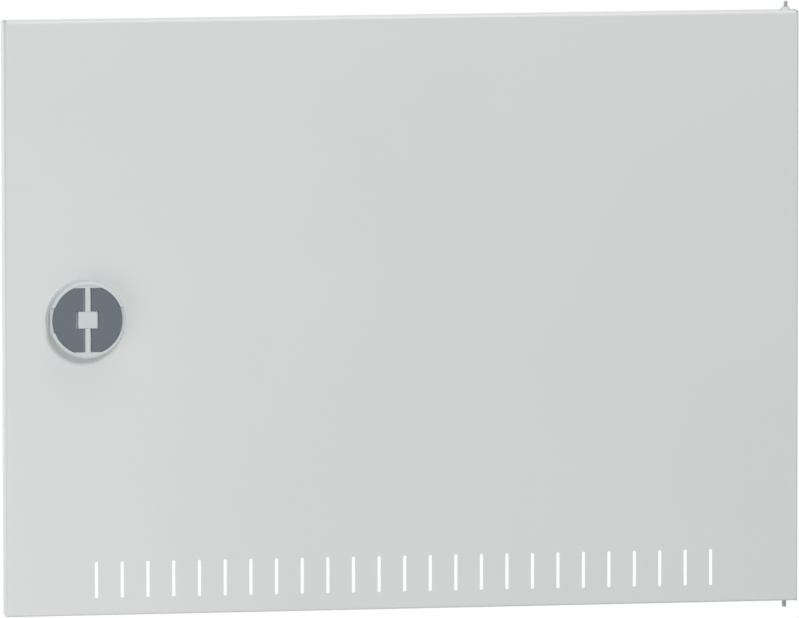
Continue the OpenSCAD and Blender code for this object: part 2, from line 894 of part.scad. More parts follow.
// Cranked tongue that turns behind the frame of the cabinet
module latch_cam() {
    fold_rise = (2 * cam_bend_r + cam_t) * (1 - cos(cam_bend_angle));
    fold_run = (2 * cam_bend_r + cam_t) * sin(cam_bend_angle);
    slope_l = (cam_set - fold_rise) / sin(cam_bend_angle);
    tongue_l = cam_reach - cam_bend_x - fold_run - slope_l * cos(cam_bend_angle);
    color(steel)
        in_latch()
            difference() {
                intersection() {
                    mirror([1, 0, 0])
                        translate([-cam_hub_r, 0, cam_back_z])
                            rotate([90, 0, 0])
                                linear_extrude(height = 4 * cam_hub_r, center = true)
                                    folded_strip([cam_bend_x + cam_hub_r, slope_l, tongue_l],
                                                 [-cam_bend_angle, cam_bend_angle], cam_t, cam_bend_r);
                    mirror([1, 0, 0])
                        translate([0, 0, cam_back_z - 2 * cam_set])
                            linear_extrude(height = 4 * cam_set) {
                                circle(r = cam_hub_r);
                                round_rectangle(0, cam_reach, cam_w, cam_corner_r);
                            }
                }
                translate([0, 0, cam_back_z - 1])
                    linear_extrude(height = cam_t + 2)
                        square(spindle_w, center = true);
            }
}

module cam_washer() {
    color(bright_zinc)
        in_latch()
            translate([0, 0, washer_back_z])
                ring(cam_washer_d / 2, spindle_thread_d / 2, cam_washer_t);
}

module cam_nut() {
    color(bright_zinc)
        in_latch()
            translate([0, 0, cam_nut_back_z])
                hex_nut(cam_nut_af, spindle_thread_d / 2, cam_nut_t);
}

// ---------- Earth stud ----------

// Places what is given along the stud, from the back of the sheet
module in_stud(from_front) {
    in_leaf()
        translate([leaf_w - stud_from_edge, from_front, stud_z])
            rotate([-90, 0, 0])
                children();
}

module earth_stud() {
    color("peru") {
        in_stud(sheet_t)
            cylinder(d = stud_foot_d, h = stud_foot_t);
        in_stud(sheet_t)
            cylinder(d = stud_engaged_d, h = stud_free_y - sheet_t + eps);
        in_stud(stud_free_y)
            chamfered_rod(stud_d / 2, stud_free_l, 0.6);
    }
}

module earth_washer() {
    tooth_l = 1.2;
    color(bright_zinc)
        in_stud(stud_washer_y)
            difference() {
                ring(stud_washer_d / 2, stud_engaged_d / 2, stud_washer_t);
                for (i = [0 : washer_teeth - 1])
                    rotate([0, 0, i * 360 / washer_teeth])
                        translate([stud_washer_d / 2 - tooth_l, -0.4, -1])
                            cube([tooth_l + 1, 0.8, stud_washer_t + 2]);
            }
}

module earth_nut() {
    color(bright_zinc)
        in_stud(stud_nut_y)
            hex_nut(stud_nut_af, stud_engaged_d / 2, stud_nut_t);
}

// ---------- Buffers ----------

// Places what is given on the latch side's lip, with its head to the back
module in_buffer(z) {
    in_leaf()
        translate([buffer_x, leaf_depth, z])
            rotate([-90, 0, 0])
                children();
}

// Rubber stop: a domed head, a neck through the lip and a barb inside
module buffer(z) {
    neck_r = buffer_neck_d / 2;
    barb_r = buffer_barb_d / 2;
    color(rubber)
        in_buffer(z) {
            rounded_disc(buffer_d / 2, buffer_h, buffer_edge_r);
            rotate([180, 0, 0])
                cylinder(r = neck_r, h = sheet_t);
            translate([0, 0, -sheet_t])
                rotate([180, 0, 0])
                    cylinder(r1 = barb_r, r2 = neck_r * 0.7, h = buffer_barb_l);
        }
}

module upper_buffer() {
    buffer(leaf_h - buffer_from_end);
}

module lower_buffer() {
    buffer(buffer_from_end);
}

door_leaf();
centre_stiffener();
upper_pin_bracket();
upper_pin_bush();
upper_hinge_pin();
pin_clip();
pin_spring();
lower_hinge_pin();
lower_pin_bracket();
lower_pin_clip();
latch_rose();
rose_gasket();
rose_nut();
latch_handle();
left_insert();
right_insert();
centre_cap();
handle_screw();
latch_spindle();
stop_disc();
latch_cam();
cam_washer();
cam_nut();
earth_stud();
earth_washer();
earth_nut();
upper_buffer();
lower_buffer();
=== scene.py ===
"""Studio scene of a cabinet door with ventilation slots, a quarter-turn latch and sprung hinge pins.

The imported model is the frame. Each class below is one sub-assembly: it holds its sizes, builds its
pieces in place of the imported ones, and dresses them in their finishes. Lengths are in metres, in the
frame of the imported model: +X to the hinge side, +Z up, and the front face looks along -Y.
"""
import logging
import math
from dataclasses import dataclass
from enum import Enum
from typing import Callable, Sequence

import bpy
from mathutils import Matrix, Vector


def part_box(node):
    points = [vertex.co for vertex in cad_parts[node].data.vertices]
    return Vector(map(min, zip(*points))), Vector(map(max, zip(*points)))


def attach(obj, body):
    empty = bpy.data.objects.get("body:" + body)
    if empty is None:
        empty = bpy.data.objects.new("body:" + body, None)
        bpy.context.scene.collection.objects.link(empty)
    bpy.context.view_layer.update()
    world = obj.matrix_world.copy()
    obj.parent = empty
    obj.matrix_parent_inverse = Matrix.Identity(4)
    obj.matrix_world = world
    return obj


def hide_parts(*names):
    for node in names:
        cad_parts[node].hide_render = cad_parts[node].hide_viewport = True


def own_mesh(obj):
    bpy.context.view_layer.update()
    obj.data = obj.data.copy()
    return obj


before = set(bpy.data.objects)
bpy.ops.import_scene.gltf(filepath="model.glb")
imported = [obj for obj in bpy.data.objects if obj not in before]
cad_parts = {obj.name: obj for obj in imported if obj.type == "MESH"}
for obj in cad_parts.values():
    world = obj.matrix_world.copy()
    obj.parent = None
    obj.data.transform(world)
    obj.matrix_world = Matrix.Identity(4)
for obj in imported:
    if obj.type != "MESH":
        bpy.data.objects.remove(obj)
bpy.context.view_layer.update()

LOG = logging.getLogger("door")
MM = 0.001
# How far a tool piece reaches past the latch in every direction
FAR = 50 * MM
# A step too small to see, which keeps two cuts from meeting in one face
HAIR = 0.01 * MM

# A mesh object of the scene
Piece = bpy.types.Object


class Element(Enum):
    """What a selection is made of."""

    VERTEX = 0
    EDGE = 1
    FACE = 2


class Cut(Enum):
    """How a tool piece changes the piece it is put to."""

    AWAY = "DIFFERENCE"
    ON = "UNION"
    WITHIN = "INTERSECT"


class Turn(Enum):
    """How a piece that was made along +Z is turned into place."""

    TO_FRONT = (math.pi / 2, 0.0, 0.0)
    TO_BACK = (-math.pi / 2, 0.0, 0.0)
    TO_SIDE = (0.0, math.pi / 2, 0.0)


# ---------- Hand tools ----------


def pick(*pieces: Piece) -> None:
    """Selects only these objects, with the first one active.

    Args:
        *pieces: The objects to select.
    """
    if bpy.context.mode != "OBJECT":
        bpy.ops.object.mode_set(mode="OBJECT")
    bpy.ops.object.select_all(action="DESELECT")
    for piece in pieces:
        piece.select_set(True)
    bpy.context.view_layer.objects.active = pieces[0]


def mark(piece: Piece, kind: Element, test: Callable[..., bool]) -> int:
    """Enters edit mode with the elements selected that pass a test.

    Args:
        piece: The mesh object.
        kind: Vertices, edges or faces.
        test: Takes a vertex's place, an edge's middle and direction, or a face's centre and normal.

    Returns:
        How many elements were selected.
    """
    pick(piece)
    bpy.ops.object.mode_set(mode="EDIT")
    bpy.context.tool_settings.mesh_select_mode = [kind is item for item in Element]
    bpy.ops.mesh.select_all(action="DESELECT")
    bpy.ops.object.mode_set(mode="OBJECT")
    mesh = piece.data
    count = 0
    if kind is Element.VERTEX:
        for vertex in mesh.vertices:
            vertex.select = test(vertex.co)
            count += vertex.select
    elif kind is Element.EDGE:
        for edge in mesh.edges:
            a, b = (mesh.vertices[i].co for i in edge.vertices)
            edge.select = test((a + b) / 2, b - a)
            count += edge.select
    else:
        for face in mesh.polygons:
            face.select = test(face.center, face.normal)
            count += face.select
    bpy.ops.object.mode_set(mode="EDIT")
    return count


def done() -> None:
    """Leaves edit mode."""
    bpy.ops.object.mode_set(mode="OBJECT")


def name_piece(name: str) -> Piece:
    """Names the active object and its mesh.

    Args:
        name: The piece's name.

    Returns:
        The active object.
    """
    piece = bpy.context.object
    piece.name = name
    piece.data.name = name
    return piece


def settle(piece: Piece) -> None:
    """Moves an object's place, turn and scale into its mesh.

    Args:
        piece: The object.
    """
    pick(piece)
    bpy.ops.object.transform_apply(location=True, rotation=True, scale=True)


def rod(name: str, radius: float, low: float, high: float, sides: int = 96) -> Piece:
    """Makes a round bar along Z.

    Args:
        name: The piece's name.
        radius: Its radius.
        low: Its lower end.
        high: Its upper end.
        sides: The number of sides.

    Returns:
        The new object.
    """
    bpy.ops.object.select_all(action="DESELECT")
    bpy.ops.mesh.primitive_cylinder_add(
        vertices=sides, radius=radius, depth=high - low, location=(0, 0, (low + high) / 2)
    )
    piece = name_piece(name)
    settle(piece)
    return piece


def block(name: str, low: Sequence[float], high: Sequence[float]) -> Piece:
    """Makes a box from its lowest to its highest corner.

    Args:
        name: The piece's name.
        low: The lowest corner.
        high: The highest corner.

    Returns:
        The new object.
    """
    low, high = Vector(low), Vector(high)
    bpy.ops.object.select_all(action="DESELECT")
    bpy.ops.mesh.primitive_cube_add(size=1, location=(low + high) / 2, scale=high - low)
    piece = name_piece(name)
    settle(piece)
    return piece


def turned(name: str, profile: Sequence[tuple[float, float]], sides: int = 96) -> Piece:
    """Turns a profile round Z, as on a lathe.

    Args:
        name: The piece's name.
        profile: Radius and height of each corner. It starts and ends on the axis, or closes on
            itself where the piece has a bore.
        sides: The number of sides.

    Returns:
        The new object.
    """
    bpy.ops.object.select_all(action="DESELECT")
    first = profile[0]
    bpy.ops.mesh.primitive_plane_add(size=0.001, location=(first[0], 0, first[1]))
    piece = name_piece(name)
    settle(piece)
    mark(piece, Element.VERTEX, lambda place: True)
    bpy.ops.mesh.merge(type="CENTER")
    for (r0, z0), (r1, z1) in zip(profile, profile[1:]):
        bpy.ops.mesh.extrude_vertices_move(TRANSFORM_OT_translate={"value": (r1 - r0, 0, z1 - z0)})
    bpy.ops.mesh.select_all(action="SELECT")
    bpy.ops.mesh.spin(steps=sides, angle=math.tau, center=(0, 0, 0), axis=(0, 0, 1))
    bpy.ops.mesh.select_all(action="SELECT")
    bpy.ops.mesh.remove_doubles(threshold=1e-6)
    bpy.ops.mesh.dissolve_degenerate(threshold=1e-7)
    bpy.ops.mesh.normals_make_consistent(inside=False)
    done()
    return piece


def place(piece: Piece, turn: Turn, where: Sequence[float]) -> Piece:
    """Turns a piece that was made along +Z and moves it to its place, in its mesh.

    Args:
        piece: The object.
        turn: How it is turned.
        where: Where its origin goes.

    Returns:
        The same object.
    """
    piece.rotation_euler = turn.value
    piece.location = where
    settle(piece)
    return piece


def work(piece: Piece, tool: Piece, cut: Cut) -> None:
    """Cuts a piece with a tool piece, or joins the two, and takes the tool away.

    Args:
        piece: The object that is changed.
        tool: The tool piece.
        cut: What the tool does.
    """
    pick(piece)
    modifier = piece.modifiers.new("cut", "BOOLEAN")
    modifier.operation = cut.value
    modifier.object = tool
    modifier.solver = "EXACT"
    bpy.ops.object.modifier_apply(modifier=modifier.name)
    bpy.data.meshes.remove(tool.data)
    knit(piece)


def knit(piece: Piece) -> None:
    """Merges points that lie on each other and clears empty faces.

    Args:
        piece: The mesh object.
    """
    mark(piece, Element.VERTEX, lambda place: True)
    bpy.ops.mesh.remove_doubles(threshold=2e-6)
    bpy.ops.mesh.dissolve_degenerate(threshold=1e-7)
    done()


def repeat(piece: Piece, count: int, step: Sequence[float]) -> None:
    """Repeats a piece along a straight line.

    Args:
        piece: The object.
        count: The number of copies, the first one included.
        step: The way from one to the next.
    """
    pick(piece)
    modifier = piece.modifiers.new("row", "ARRAY")
    modifier.count = count
    modifier.use_relative_offset = False
    modifier.use_constant_offset = True
    modifier.constant_offset_displace = step
    bpy.ops.object.modifier_apply(modifier=modifier.name)


def ease(piece: Piece, width: float, segments: int = 2, angle: float = 40) -> None:
    """Rounds a piece's sharp edges.

    Args:
        piece: The object.
        width: The width of the rounding.
        segments: Its number of steps.
        angle: The least angle of an edge that is rounded, in degrees.
    """
    pick(piece)
    modifier = piece.modifiers.new("edge", "BEVEL")
    modifier.width = width
    modifier.segments = segments
    modifier.limit_method = "ANGLE"
    modifier.angle_limit = math.radians(angle)
    modifier.use_clamp_overlap = True
    modifier.miter_outer = "MITER_ARC"
    bpy.ops.object.modifier_apply(modifier=modifier.name)


def smooth(piece: Piece, angle: float = 35) -> None:
    """Shades a piece smooth, with its flats kept flat and its sharp edges sharp.

    Args:
        piece: The object.
        angle: The least angle of an edge that stays sharp, in degrees.
    """
    pick(piece)
    bpy.ops.object.shade_smooth_by_angle(angle=math.radians(angle), keep_sharp_edges=False)
    modifier = piece.modifiers.new("shading", "WEIGHTED_NORMAL")
    modifier.mode = "FACE_AREA"
    modifier.weight = 80
    modifier.keep_sharp = True
    bpy.ops.object.modifier_apply(modifier=modifier.name)


def coil(
    name: str, section: Sequence[tuple[float, float]], pitch: float, turns: float, low: float, steps: int = 24
) -> Piece:
    """Winds a closed section round Z with a steady rise, and closes both ends.

    Args:
        name: The piece's name.
        section: Radius and height of each corner, in order.
        pitch: The rise of one turn.
        turns: The number of turns.
        low: Where the section's zero height starts.
        steps: The number of steps in one turn.

    Returns:
        The new object.
    """
    bpy.ops.object.select_all(action="DESELECT")
    bpy.ops.mesh.primitive_circle_add(vertices=len(section), radius=0.001, location=(0, 0, 0))
    piece = name_piece(name)
    for vertex, (radius, height) in zip(piece.data.vertices, section):
        vertex.co = (radius, 0, low + height)
    pick(piece)
    modifier = piece.modifiers.new("wind", "SCREW")
    modifier.axis = "Z"
    modifier.angle = math.tau * turns
    modifier.screw_offset = pitch * turns
    modifier.steps = modifier.render_steps = round(steps * turns)
    modifier.use_merge_vertices = False
    bpy.ops.object.modifier_apply(modifier=modifier.name)
    mark(piece, Element.VERTEX, lambda place: True)
    bpy.ops.mesh.fill_holes(sides=0)
    bpy.ops.mesh.select_all(action="SELECT")
    bpy.ops.mesh.normals_make_consistent(inside=False)
    done()
    return piece


def cut_thread(
    piece: Piece, radius: float, pitch: float, ends: tuple[float, float], turn: Turn, where: Sequence[float]
) -> None:
    """Cuts a thread into a round bar as one winding groove.

    Args:
        piece: The bar.
        radius: Its radius.
        pitch: The rise of one turn.
        ends: Where the groove starts and ends along the bar.
        turn: How the bar lies.
        where: The origin of its axis.
    """
    low, high = ends
    depth, over = 0.55 * pitch, 0.12 * MM
    half = 0.44 * pitch
    section = [(radius + over, -half), (radius - depth, 0.0), (radius + over, half)]
    tool = coil("thread", section, pitch, (high - low) / pitch, low)
    work(piece, place(tool, turn, where), Cut.AWAY)


def crown(piece: Piece, flats: float, ends: tuple[float, float], turn: Turn, where: Sequence[float]) -> None:
    """Chamfers the corners of a hexagon nut at both faces.

    Args:
        piece: The nut.
        flats: The distance across its flats.
        ends: Where its two faces are along its axis.
        turn: How its axis lies.
        where: The origin of its axis.
    """
    low, high = ends
    face, reach, slope = 0.485 * flats, flats / math.sqrt(3) + 0.2 * MM, 0.55
    rise = (reach - face) * slope
    profile = [(0, low), (face, low), (reach, low + rise), (reach, high - rise), (face, high), (0, high)]
    work(piece, place(turned("crown", profile, 64), turn, where), Cut.WITHIN)


def tidy_copy(node: str, name: str) -> Piece:
    """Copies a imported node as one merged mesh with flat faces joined.

    Args:
        node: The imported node.
        name: The new piece's name.

    Returns:
        The new object.
    """
    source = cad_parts[node]
    piece = bpy.data.objects.new(name, source.data.copy())
    piece.data.name = name
    piece.data.materials.clear()
    bpy.context.scene.collection.objects.link(piece)
    mark(piece, Element.VERTEX, lambda point: True)
    bpy.ops.mesh.remove_doubles(threshold=2e-6)
    bpy.ops.mesh.customdata_custom_splitnormals_clear()
    bpy.ops.mesh.dissolve_limited(angle_limit=math.radians(0.4))
    done()
    return piece


# ---------- Node groups shared by the finishes ----------


class Effect:
    """A shader node group with named inputs and outputs."""

    def __init__(self, name: str, inputs: dict[str, tuple[str, object]], outputs: dict[str, str]) -> None:
        """Makes the group and its sockets.

        Args:
            name: The group's name.
            inputs: Kind and default value of each input, by name.
            outputs: Kind of each output, by name.
        """
        self.tree = bpy.data.node_groups.new(name, "ShaderNodeTree")
        for label, (kind, value) in inputs.items():
            socket = self.tree.interface.new_socket(label, in_out="INPUT", socket_type="NodeSocket" + kind)
            if value is not None:
                socket.default_value = value
        for label, kind in outputs.items():
            self.tree.interface.new_socket(label, in_out="OUTPUT", socket_type="NodeSocket" + kind)
        self.source = self.tree.nodes.new("NodeGroupInput")
        self.sink = self.tree.nodes.new("NodeGroupOutput")

    def node(self, kind: str, **settings: object) -> bpy.types.Node:
        """Adds a node.

        Args:
            kind: The node's kind, without its prefix.
            **settings: Its properties.

        Returns:
            The new node.
        """
        made = self.tree.nodes.new("ShaderNode" + kind)
        for key, value in settings.items():
            setattr(made, key, value)
        return made

    def math(
        self, operation: str, first: object, second: object = 0.0, clamp: bool = False
    ) -> bpy.types.NodeSocket:
        """Adds a Math node.

        Args:
            operation: What it does.
            first: A socket or a number.
            second: A socket or a number.
            clamp: Whether the result is kept between 0 and 1.

        Returns:
            Its output.
        """
        made = self.node("Math", operation=operation, use_clamp=clamp)
        for socket, value in zip(made.inputs, (first, second)):
            if isinstance(value, bpy.types.NodeSocket):
                self.tree.links.new(value, socket)
            else:
                socket.default_value = value
        return made.outputs[0]

    def link(self, out: bpy.types.NodeSocket, into: bpy.types.NodeSocket) -> None:
        """Joins two sockets.

        Args:
            out: The output.
            into: The input.
        """
        self.tree.links.new(out, into)

    def noise(
        self, vector: bpy.types.NodeSocket, scale: object, detail: float, rough: float = 0.5
    ) -> bpy.types.NodeSocket:
        """Adds a noise texture.

        Args:
            vector: Where it is read.
            scale: A socket or a number.
            detail: Its octaves.
            rough: Its roughness.

        Returns:
            Its value, from 0 to 1.
        """
        made = self.node("TexNoise")
        self.link(vector, made.inputs["Vector"])
        if isinstance(scale, bpy.types.NodeSocket):
            self.link(scale, made.inputs["Scale"])
        else:
            made.inputs["Scale"].default_value = scale
        made.inputs["Detail"].default_value = detail
        made.inputs["Roughness"].default_value = rough
        return made.outputs["Fac"]


def make_coat() -> bpy.types.NodeTree:
    """Builds the sprayed coat: a soft peel with fine grains, and a slow drift of tone.

    Returns:
        The node group.
    """
    effect = Effect(
        "Sprayed coat",
        {"Vector": ("Vector", None), "Peel Scale": ("Float", 700.0), "Grain Scale": ("Float", 2600.0),
         "Drift Scale": ("Float", 5.0)},
        {"Height": "Float", "Tone": "Float"},
    )
    vector = effect.source.outputs["Vector"]
    peel = effect.noise(vector, effect.source.outputs["Peel Scale"], 2.0)
    grain = effect.noise(vector, effect.source.outputs["Grain Scale"], 1.0)
    height = effect.math("ADD", effect.math("MULTIPLY", peel, 0.7), effect.math("MULTIPLY", grain, 0.3))
    drift = effect.noise(vector, effect.source.outputs["Drift Scale"], 3.0)
    tone = effect.math("ADD", effect.math("MULTIPLY", drift, 0.75), effect.math("MULTIPLY", grain, 0.25))
    effect.link(height, effect.sink.inputs["Height"])
    effect.link(tone, effect.sink.inputs["Tone"])
    return effect.tree


def make_grain() -> bpy.types.NodeTree:
    """Builds drawn or brushed metal: fine streaks along one direction, and a cloudy tone.

    Returns:
        The node group.
    """
    effect = Effect(
        "Drawn grain",
        {"Vector": ("Vector", None), "Stretch": ("Vector", (1.0, 1.0, 0.05)), "Scale": ("Float", 900.0)},
        {"Height": "Float", "Tone": "Float"},
    )
    stretched = effect.node("VectorMath", operation="MULTIPLY")
    effect.link(effect.source.outputs["Vector"], stretched.inputs[0])
    effect.link(effect.source.outputs["Stretch"], stretched.inputs[1])
    streak = effect.noise(stretched.outputs[0], effect.source.outputs["Scale"], 3.0, 0.6)
    cloud = effect.noise(effect.source.outputs["Vector"], 120.0, 3.0)
    effect.link(streak, effect.sink.inputs["Height"])
    effect.link(effect.math("ADD", effect.math("MULTIPLY", streak, 0.5), effect.math("MULTIPLY", cloud, 0.5)),
                effect.sink.inputs["Tone"])
    return effect.tree


def make_wear() -> bpy.types.NodeTree:
    """Builds the mask of worn edges: where the surface bends within a radius, broken up by noise.

    Returns:
        The node group.
    """
    effect = Effect(
        "Edge wear",
        {"Vector": ("Vector", None), "Radius": ("Float", 0.0006), "Breakup Scale": ("Float", 350.0)},
        {"Mask": "Float"},
    )
    bevel = effect.node("Bevel", samples=6)
    effect.link(effect.source.outputs["Radius"], bevel.inputs["Radius"])
    geometry = effect.node("NewGeometry")
    dot = effect.node("VectorMath", operation="DOT_PRODUCT")
    effect.link(bevel.outputs[0], dot.inputs[0])
    effect.link(geometry.outputs["Normal"], dot.inputs[1])
    bend = effect.math("MULTIPLY", effect.math("SUBTRACT", 1.0, dot.outputs["Value"]), 6.0, clamp=True)
    noise = effect.noise(effect.source.outputs["Vector"], effect.source.outputs["Breakup Scale"], 3.0, 0.6)
    broken = effect.math("MULTIPLY", bend, effect.math("MULTIPLY", noise, 1.6, clamp=True), clamp=True)
    effect.link(broken, effect.sink.inputs["Mask"])
    return effect.tree


# ---------- Finishes ----------


@dataclass(frozen=True)
class Colour:
    """A colour as it looks, from 0 to 255 for each of red, green and blue."""

    red: float
    green: float
    blue: float

    def linear(self) -> tuple[float, float, float, float]:
        """Bends the colour to the shader's scale.

        Returns:
            Red, green, blue and alpha from 0 to 1.
        """
        parts = (value / 255 for value in (self.red, self.green, self.blue))
        bent = [v / 12.92 if v <= 0.04045 else ((v + 0.055) / 1.055) ** 2.4 for v in parts]
        return (bent[0], bent[1], bent[2], 1.0)


class Groups:
    """The shared node groups, made once."""

    def __init__(self) -> None:
        """Builds every group."""
        self.coat = make_coat()
        self.grain = make_grain()
        self.wear = make_wear()


def add_group(
    coords: bpy.types.Node, group: bpy.types.NodeTree, values: dict[str, object]
) -> bpy.types.Node:
    """Adds a node group that is read in the piece's own space.

    Args:
        coords: The material's Texture Coordinate node.
        group: The node group.
        values: Its inputs, by name.

    Returns:
        The group's node.
    """
    tree = coords.id_data
    made = tree.nodes.new("ShaderNodeGroup")
    made.node_tree = group
    for label, value in values.items():
        made.inputs[label].default_value = value
    tree.links.new(coords.outputs["Object"], made.inputs["Vector"])
    return made


def add_mix(factor: bpy.types.NodeSocket, first: object, second: object) -> bpy.types.NodeSocket:
    """Adds a colour mix.

    Args:
        factor: The share of the second colour.
        first: A socket or a colour.
        second: A socket or a colour.

    Returns:
        The mixed colour.
    """
    tree = factor.id_data
    made = tree.nodes.new("ShaderNodeMix")
    made.data_type = "RGBA"
    for label, value in (("A", first), ("B", second)):
        if isinstance(value, bpy.types.NodeSocket):
            tree.links.new(value, made.inputs[label])
        else:
            made.inputs[label].default_value = value
    tree.links.new(factor, made.inputs["Factor"])
    return made.outputs["Result"]


@dataclass(frozen=True)
class Finish:
    """What all finishes have: a name, the record's slot, two tones and the tone of worn edges."""

    name: str
    slot: str
    base: Colour
    tint: Colour
    roughness: float = 0.5
    bump: float = 0.00001
    bump_strength: float = 0.3
    edge: Colour = Colour(226, 228, 228)
    wear_width: float = 0.0005
    spread: float = 0.04
    metallic: float = 0.0

    def surface(self, groups: Groups, coords: bpy.types.Node) -> bpy.types.Node:
        """Adds the node group that gives the surface its tone and height.

        Args:
            groups: The shared node groups.
            coords: The material's Texture Coordinate node.

        Returns:
            The group's node.
        """
        raise NotImplementedError

    def material(self, groups: Groups) -> bpy.types.Material:
        """Lets a surface's tone drive colour and roughness, its height the bump, and wears its edges.

        Args:
            groups: The shared node groups.

        Returns:
            The new material.
        """
        material = bpy.data.materials.new(self.name)
        material.use_nodes = True
        tree = material.node_tree
        shader = tree.nodes["Principled BSDF"]
        shader.inputs["Metallic"].default_value = self.metallic
        coords = tree.nodes.new("ShaderNodeTexCoord")
        surface = self.surface(groups, coords)
        wear = add_group(coords, groups.wear, {"Radius": self.wear_width})
        plain = add_mix(surface.outputs["Tone"], self.base.linear(), self.tint.linear())
        worn = add_mix(wear.outputs["Mask"], plain, self.edge.linear())
        tree.links.new(worn, shader.inputs["Base Color"])
        span = tree.nodes.new("ShaderNodeMapRange")
        span.inputs["To Min"].default_value = self.roughness - self.spread
        span.inputs["To Max"].default_value = self.roughness + self.spread
        tree.links.new(surface.outputs["Tone"], span.inputs["Value"])
        tree.links.new(span.outputs["Result"], shader.inputs["Roughness"])
        bump = tree.nodes.new("ShaderNodeBump")
        bump.inputs["Strength"].default_value = self.bump_strength
        bump.inputs["Distance"].default_value = self.bump
        tree.links.new(surface.outputs["Height"], bump.inputs["Height"])
        tree.links.new(bump.outputs["Normal"], shader.inputs["Normal"])
        return material


@dataclass(frozen=True)
class PowderCoat(Finish):
    """Sprayed and baked paint with a fine peel."""

    peel_scale: float = 700.0
    grain_scale: float = 2600.0

    def surface(self, groups: Groups, coords: bpy.types.Node) -> bpy.types.Node:
        """Adds the sprayed coat; see Finish.surface."""
        return add_group(coords, groups.coat, {"Peel Scale": self.peel_scale, "Grain Scale": self.grain_scale})


@dataclass(frozen=True)
class Moulded(Finish):
    """Moulded plastic or rubber with a finely eroded skin."""

    spread: float = 0.05
    grain_scale: float = 1800.0
    grain_ratio: float = 2.3
    drift_scale: float = 22.0

    def surface(self, groups: Groups, coords: bpy.types.Node) -> bpy.types.Node:
        """Adds the eroded skin; see Finish.surface."""
        fine = self.grain_scale * self.grain_ratio
        scales = {"Peel Scale": self.grain_scale, "Grain Scale": fine, "Drift Scale": self.drift_scale}
        return add_group(coords, groups.coat, scales)


@dataclass(frozen=True)
class Metal(Finish):
    """Bare or plated metal with drawn or turned streaks."""

    spread: float = 0.08
    metallic: float = 1.0
    stretch: tuple[float, float, float] = (1.0, 1.0, 0.06)
    scale: float = 900.0

    def surface(self, groups: Groups, coords: bpy.types.Node) -> bpy.types.Node:
        """Adds the streaks; see Finish.surface."""
        return add_group(coords, groups.grain, {"Stretch": self.stretch, "Scale": self.scale})


class Shop:
    """Makes each finish's material once and puts it on pieces."""

    def __init__(self) -> None:
        """Lists the finishes of the door."""
        self.groups = Groups()
        self.made: dict[str, bpy.types.Material] = {}
        self.paint = PowderCoat(
            "door_paint", "door_paint", Colour(217, 219, 218), Colour(211, 213, 214),
            roughness=0.5, bump=0.00002, bump_strength=0.25,
        )
        self.pale = Moulded(
            "pale_plastic", "pale_plastic", Colour(202, 209, 208), Colour(195, 203, 203),
            roughness=0.48, bump=0.00002, bump_strength=0.2, edge=Colour(210, 216, 215), wear_width=0.0003,
        )
        self.dark = Moulded(
            "dark_plastic", "dark_plastic", Colour(99, 108, 116), Colour(91, 100, 109),
            roughness=0.5, bump=0.00002, bump_strength=0.2, edge=Colour(116, 124, 131), wear_width=0.0002,
        )
        self.pin = Metal(
            "pin_steel", "pin_steel", Colour(172, 172, 169), Colour(132, 132, 130),
            roughness=0.36, edge=Colour(196, 196, 194), wear_width=0.0003,
            stretch=(0.1, 0.1, 1.0), scale=1400.0,
        )
        self.zinc = Metal(
            "zinc_steel", "zinc_steel", Colour(206, 209, 212), Colour(168, 174, 182),
            roughness=0.36, edge=Colour(224, 226, 228), stretch=(1.0, 0.6, 0.15), scale=700.0,
        )
        self.spring = Metal(
            "spring_steel", "spring_steel", Colour(142, 142, 145), Colour(98, 98, 103),
            roughness=0.3, edge=Colour(160, 160, 164), wear_width=0.0001,
            stretch=(1.0, 1.0, 1.0), scale=1500.0,
        )
        self.copper = Metal(
            "copper_plate", "copper_plate", Colour(214, 158, 128), Colour(178, 116, 88),
            roughness=0.3, edge=Colour(226, 178, 150), wear_width=0.0002,
            stretch=(1.0, 0.1, 1.0), scale=1200.0,
        )
        self.rubber = Moulded(
            "black_rubber", "black_rubber", Colour(38, 39, 41), Colour(50, 51, 53), roughness=0.62,
            bump=0.00003, bump_strength=0.3, edge=Colour(58, 59, 61), wear_width=0.0003, grain_scale=1200.0,
        )

    def dress(self, piece: Piece, finish: Finish) -> None:
        """Puts a finish on a piece.

        Args:
            piece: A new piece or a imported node.
            finish: The finish.
        """
        if finish.name not in self.made:
            self.made[finish.name] = finish.material(self.groups)
        piece.data.materials.clear()
        piece.data.materials.append(self.made[finish.name])

    def finish(self, piece: Piece, finish: Finish, body: str, *nodes: str) -> None:
        """Dresses a new piece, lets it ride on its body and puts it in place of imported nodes.

        Args:
            piece: The new piece.
            finish: Its finish.
            body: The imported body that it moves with.
            *nodes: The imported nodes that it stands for.
        """
        self.dress(piece, finish)
        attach(piece, body)
        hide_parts(*nodes)
        LOG.info("%s: %d faces, on %s", piece.name, len(piece.data.polygons), body)


# ---------- Sub-assemblies ----------


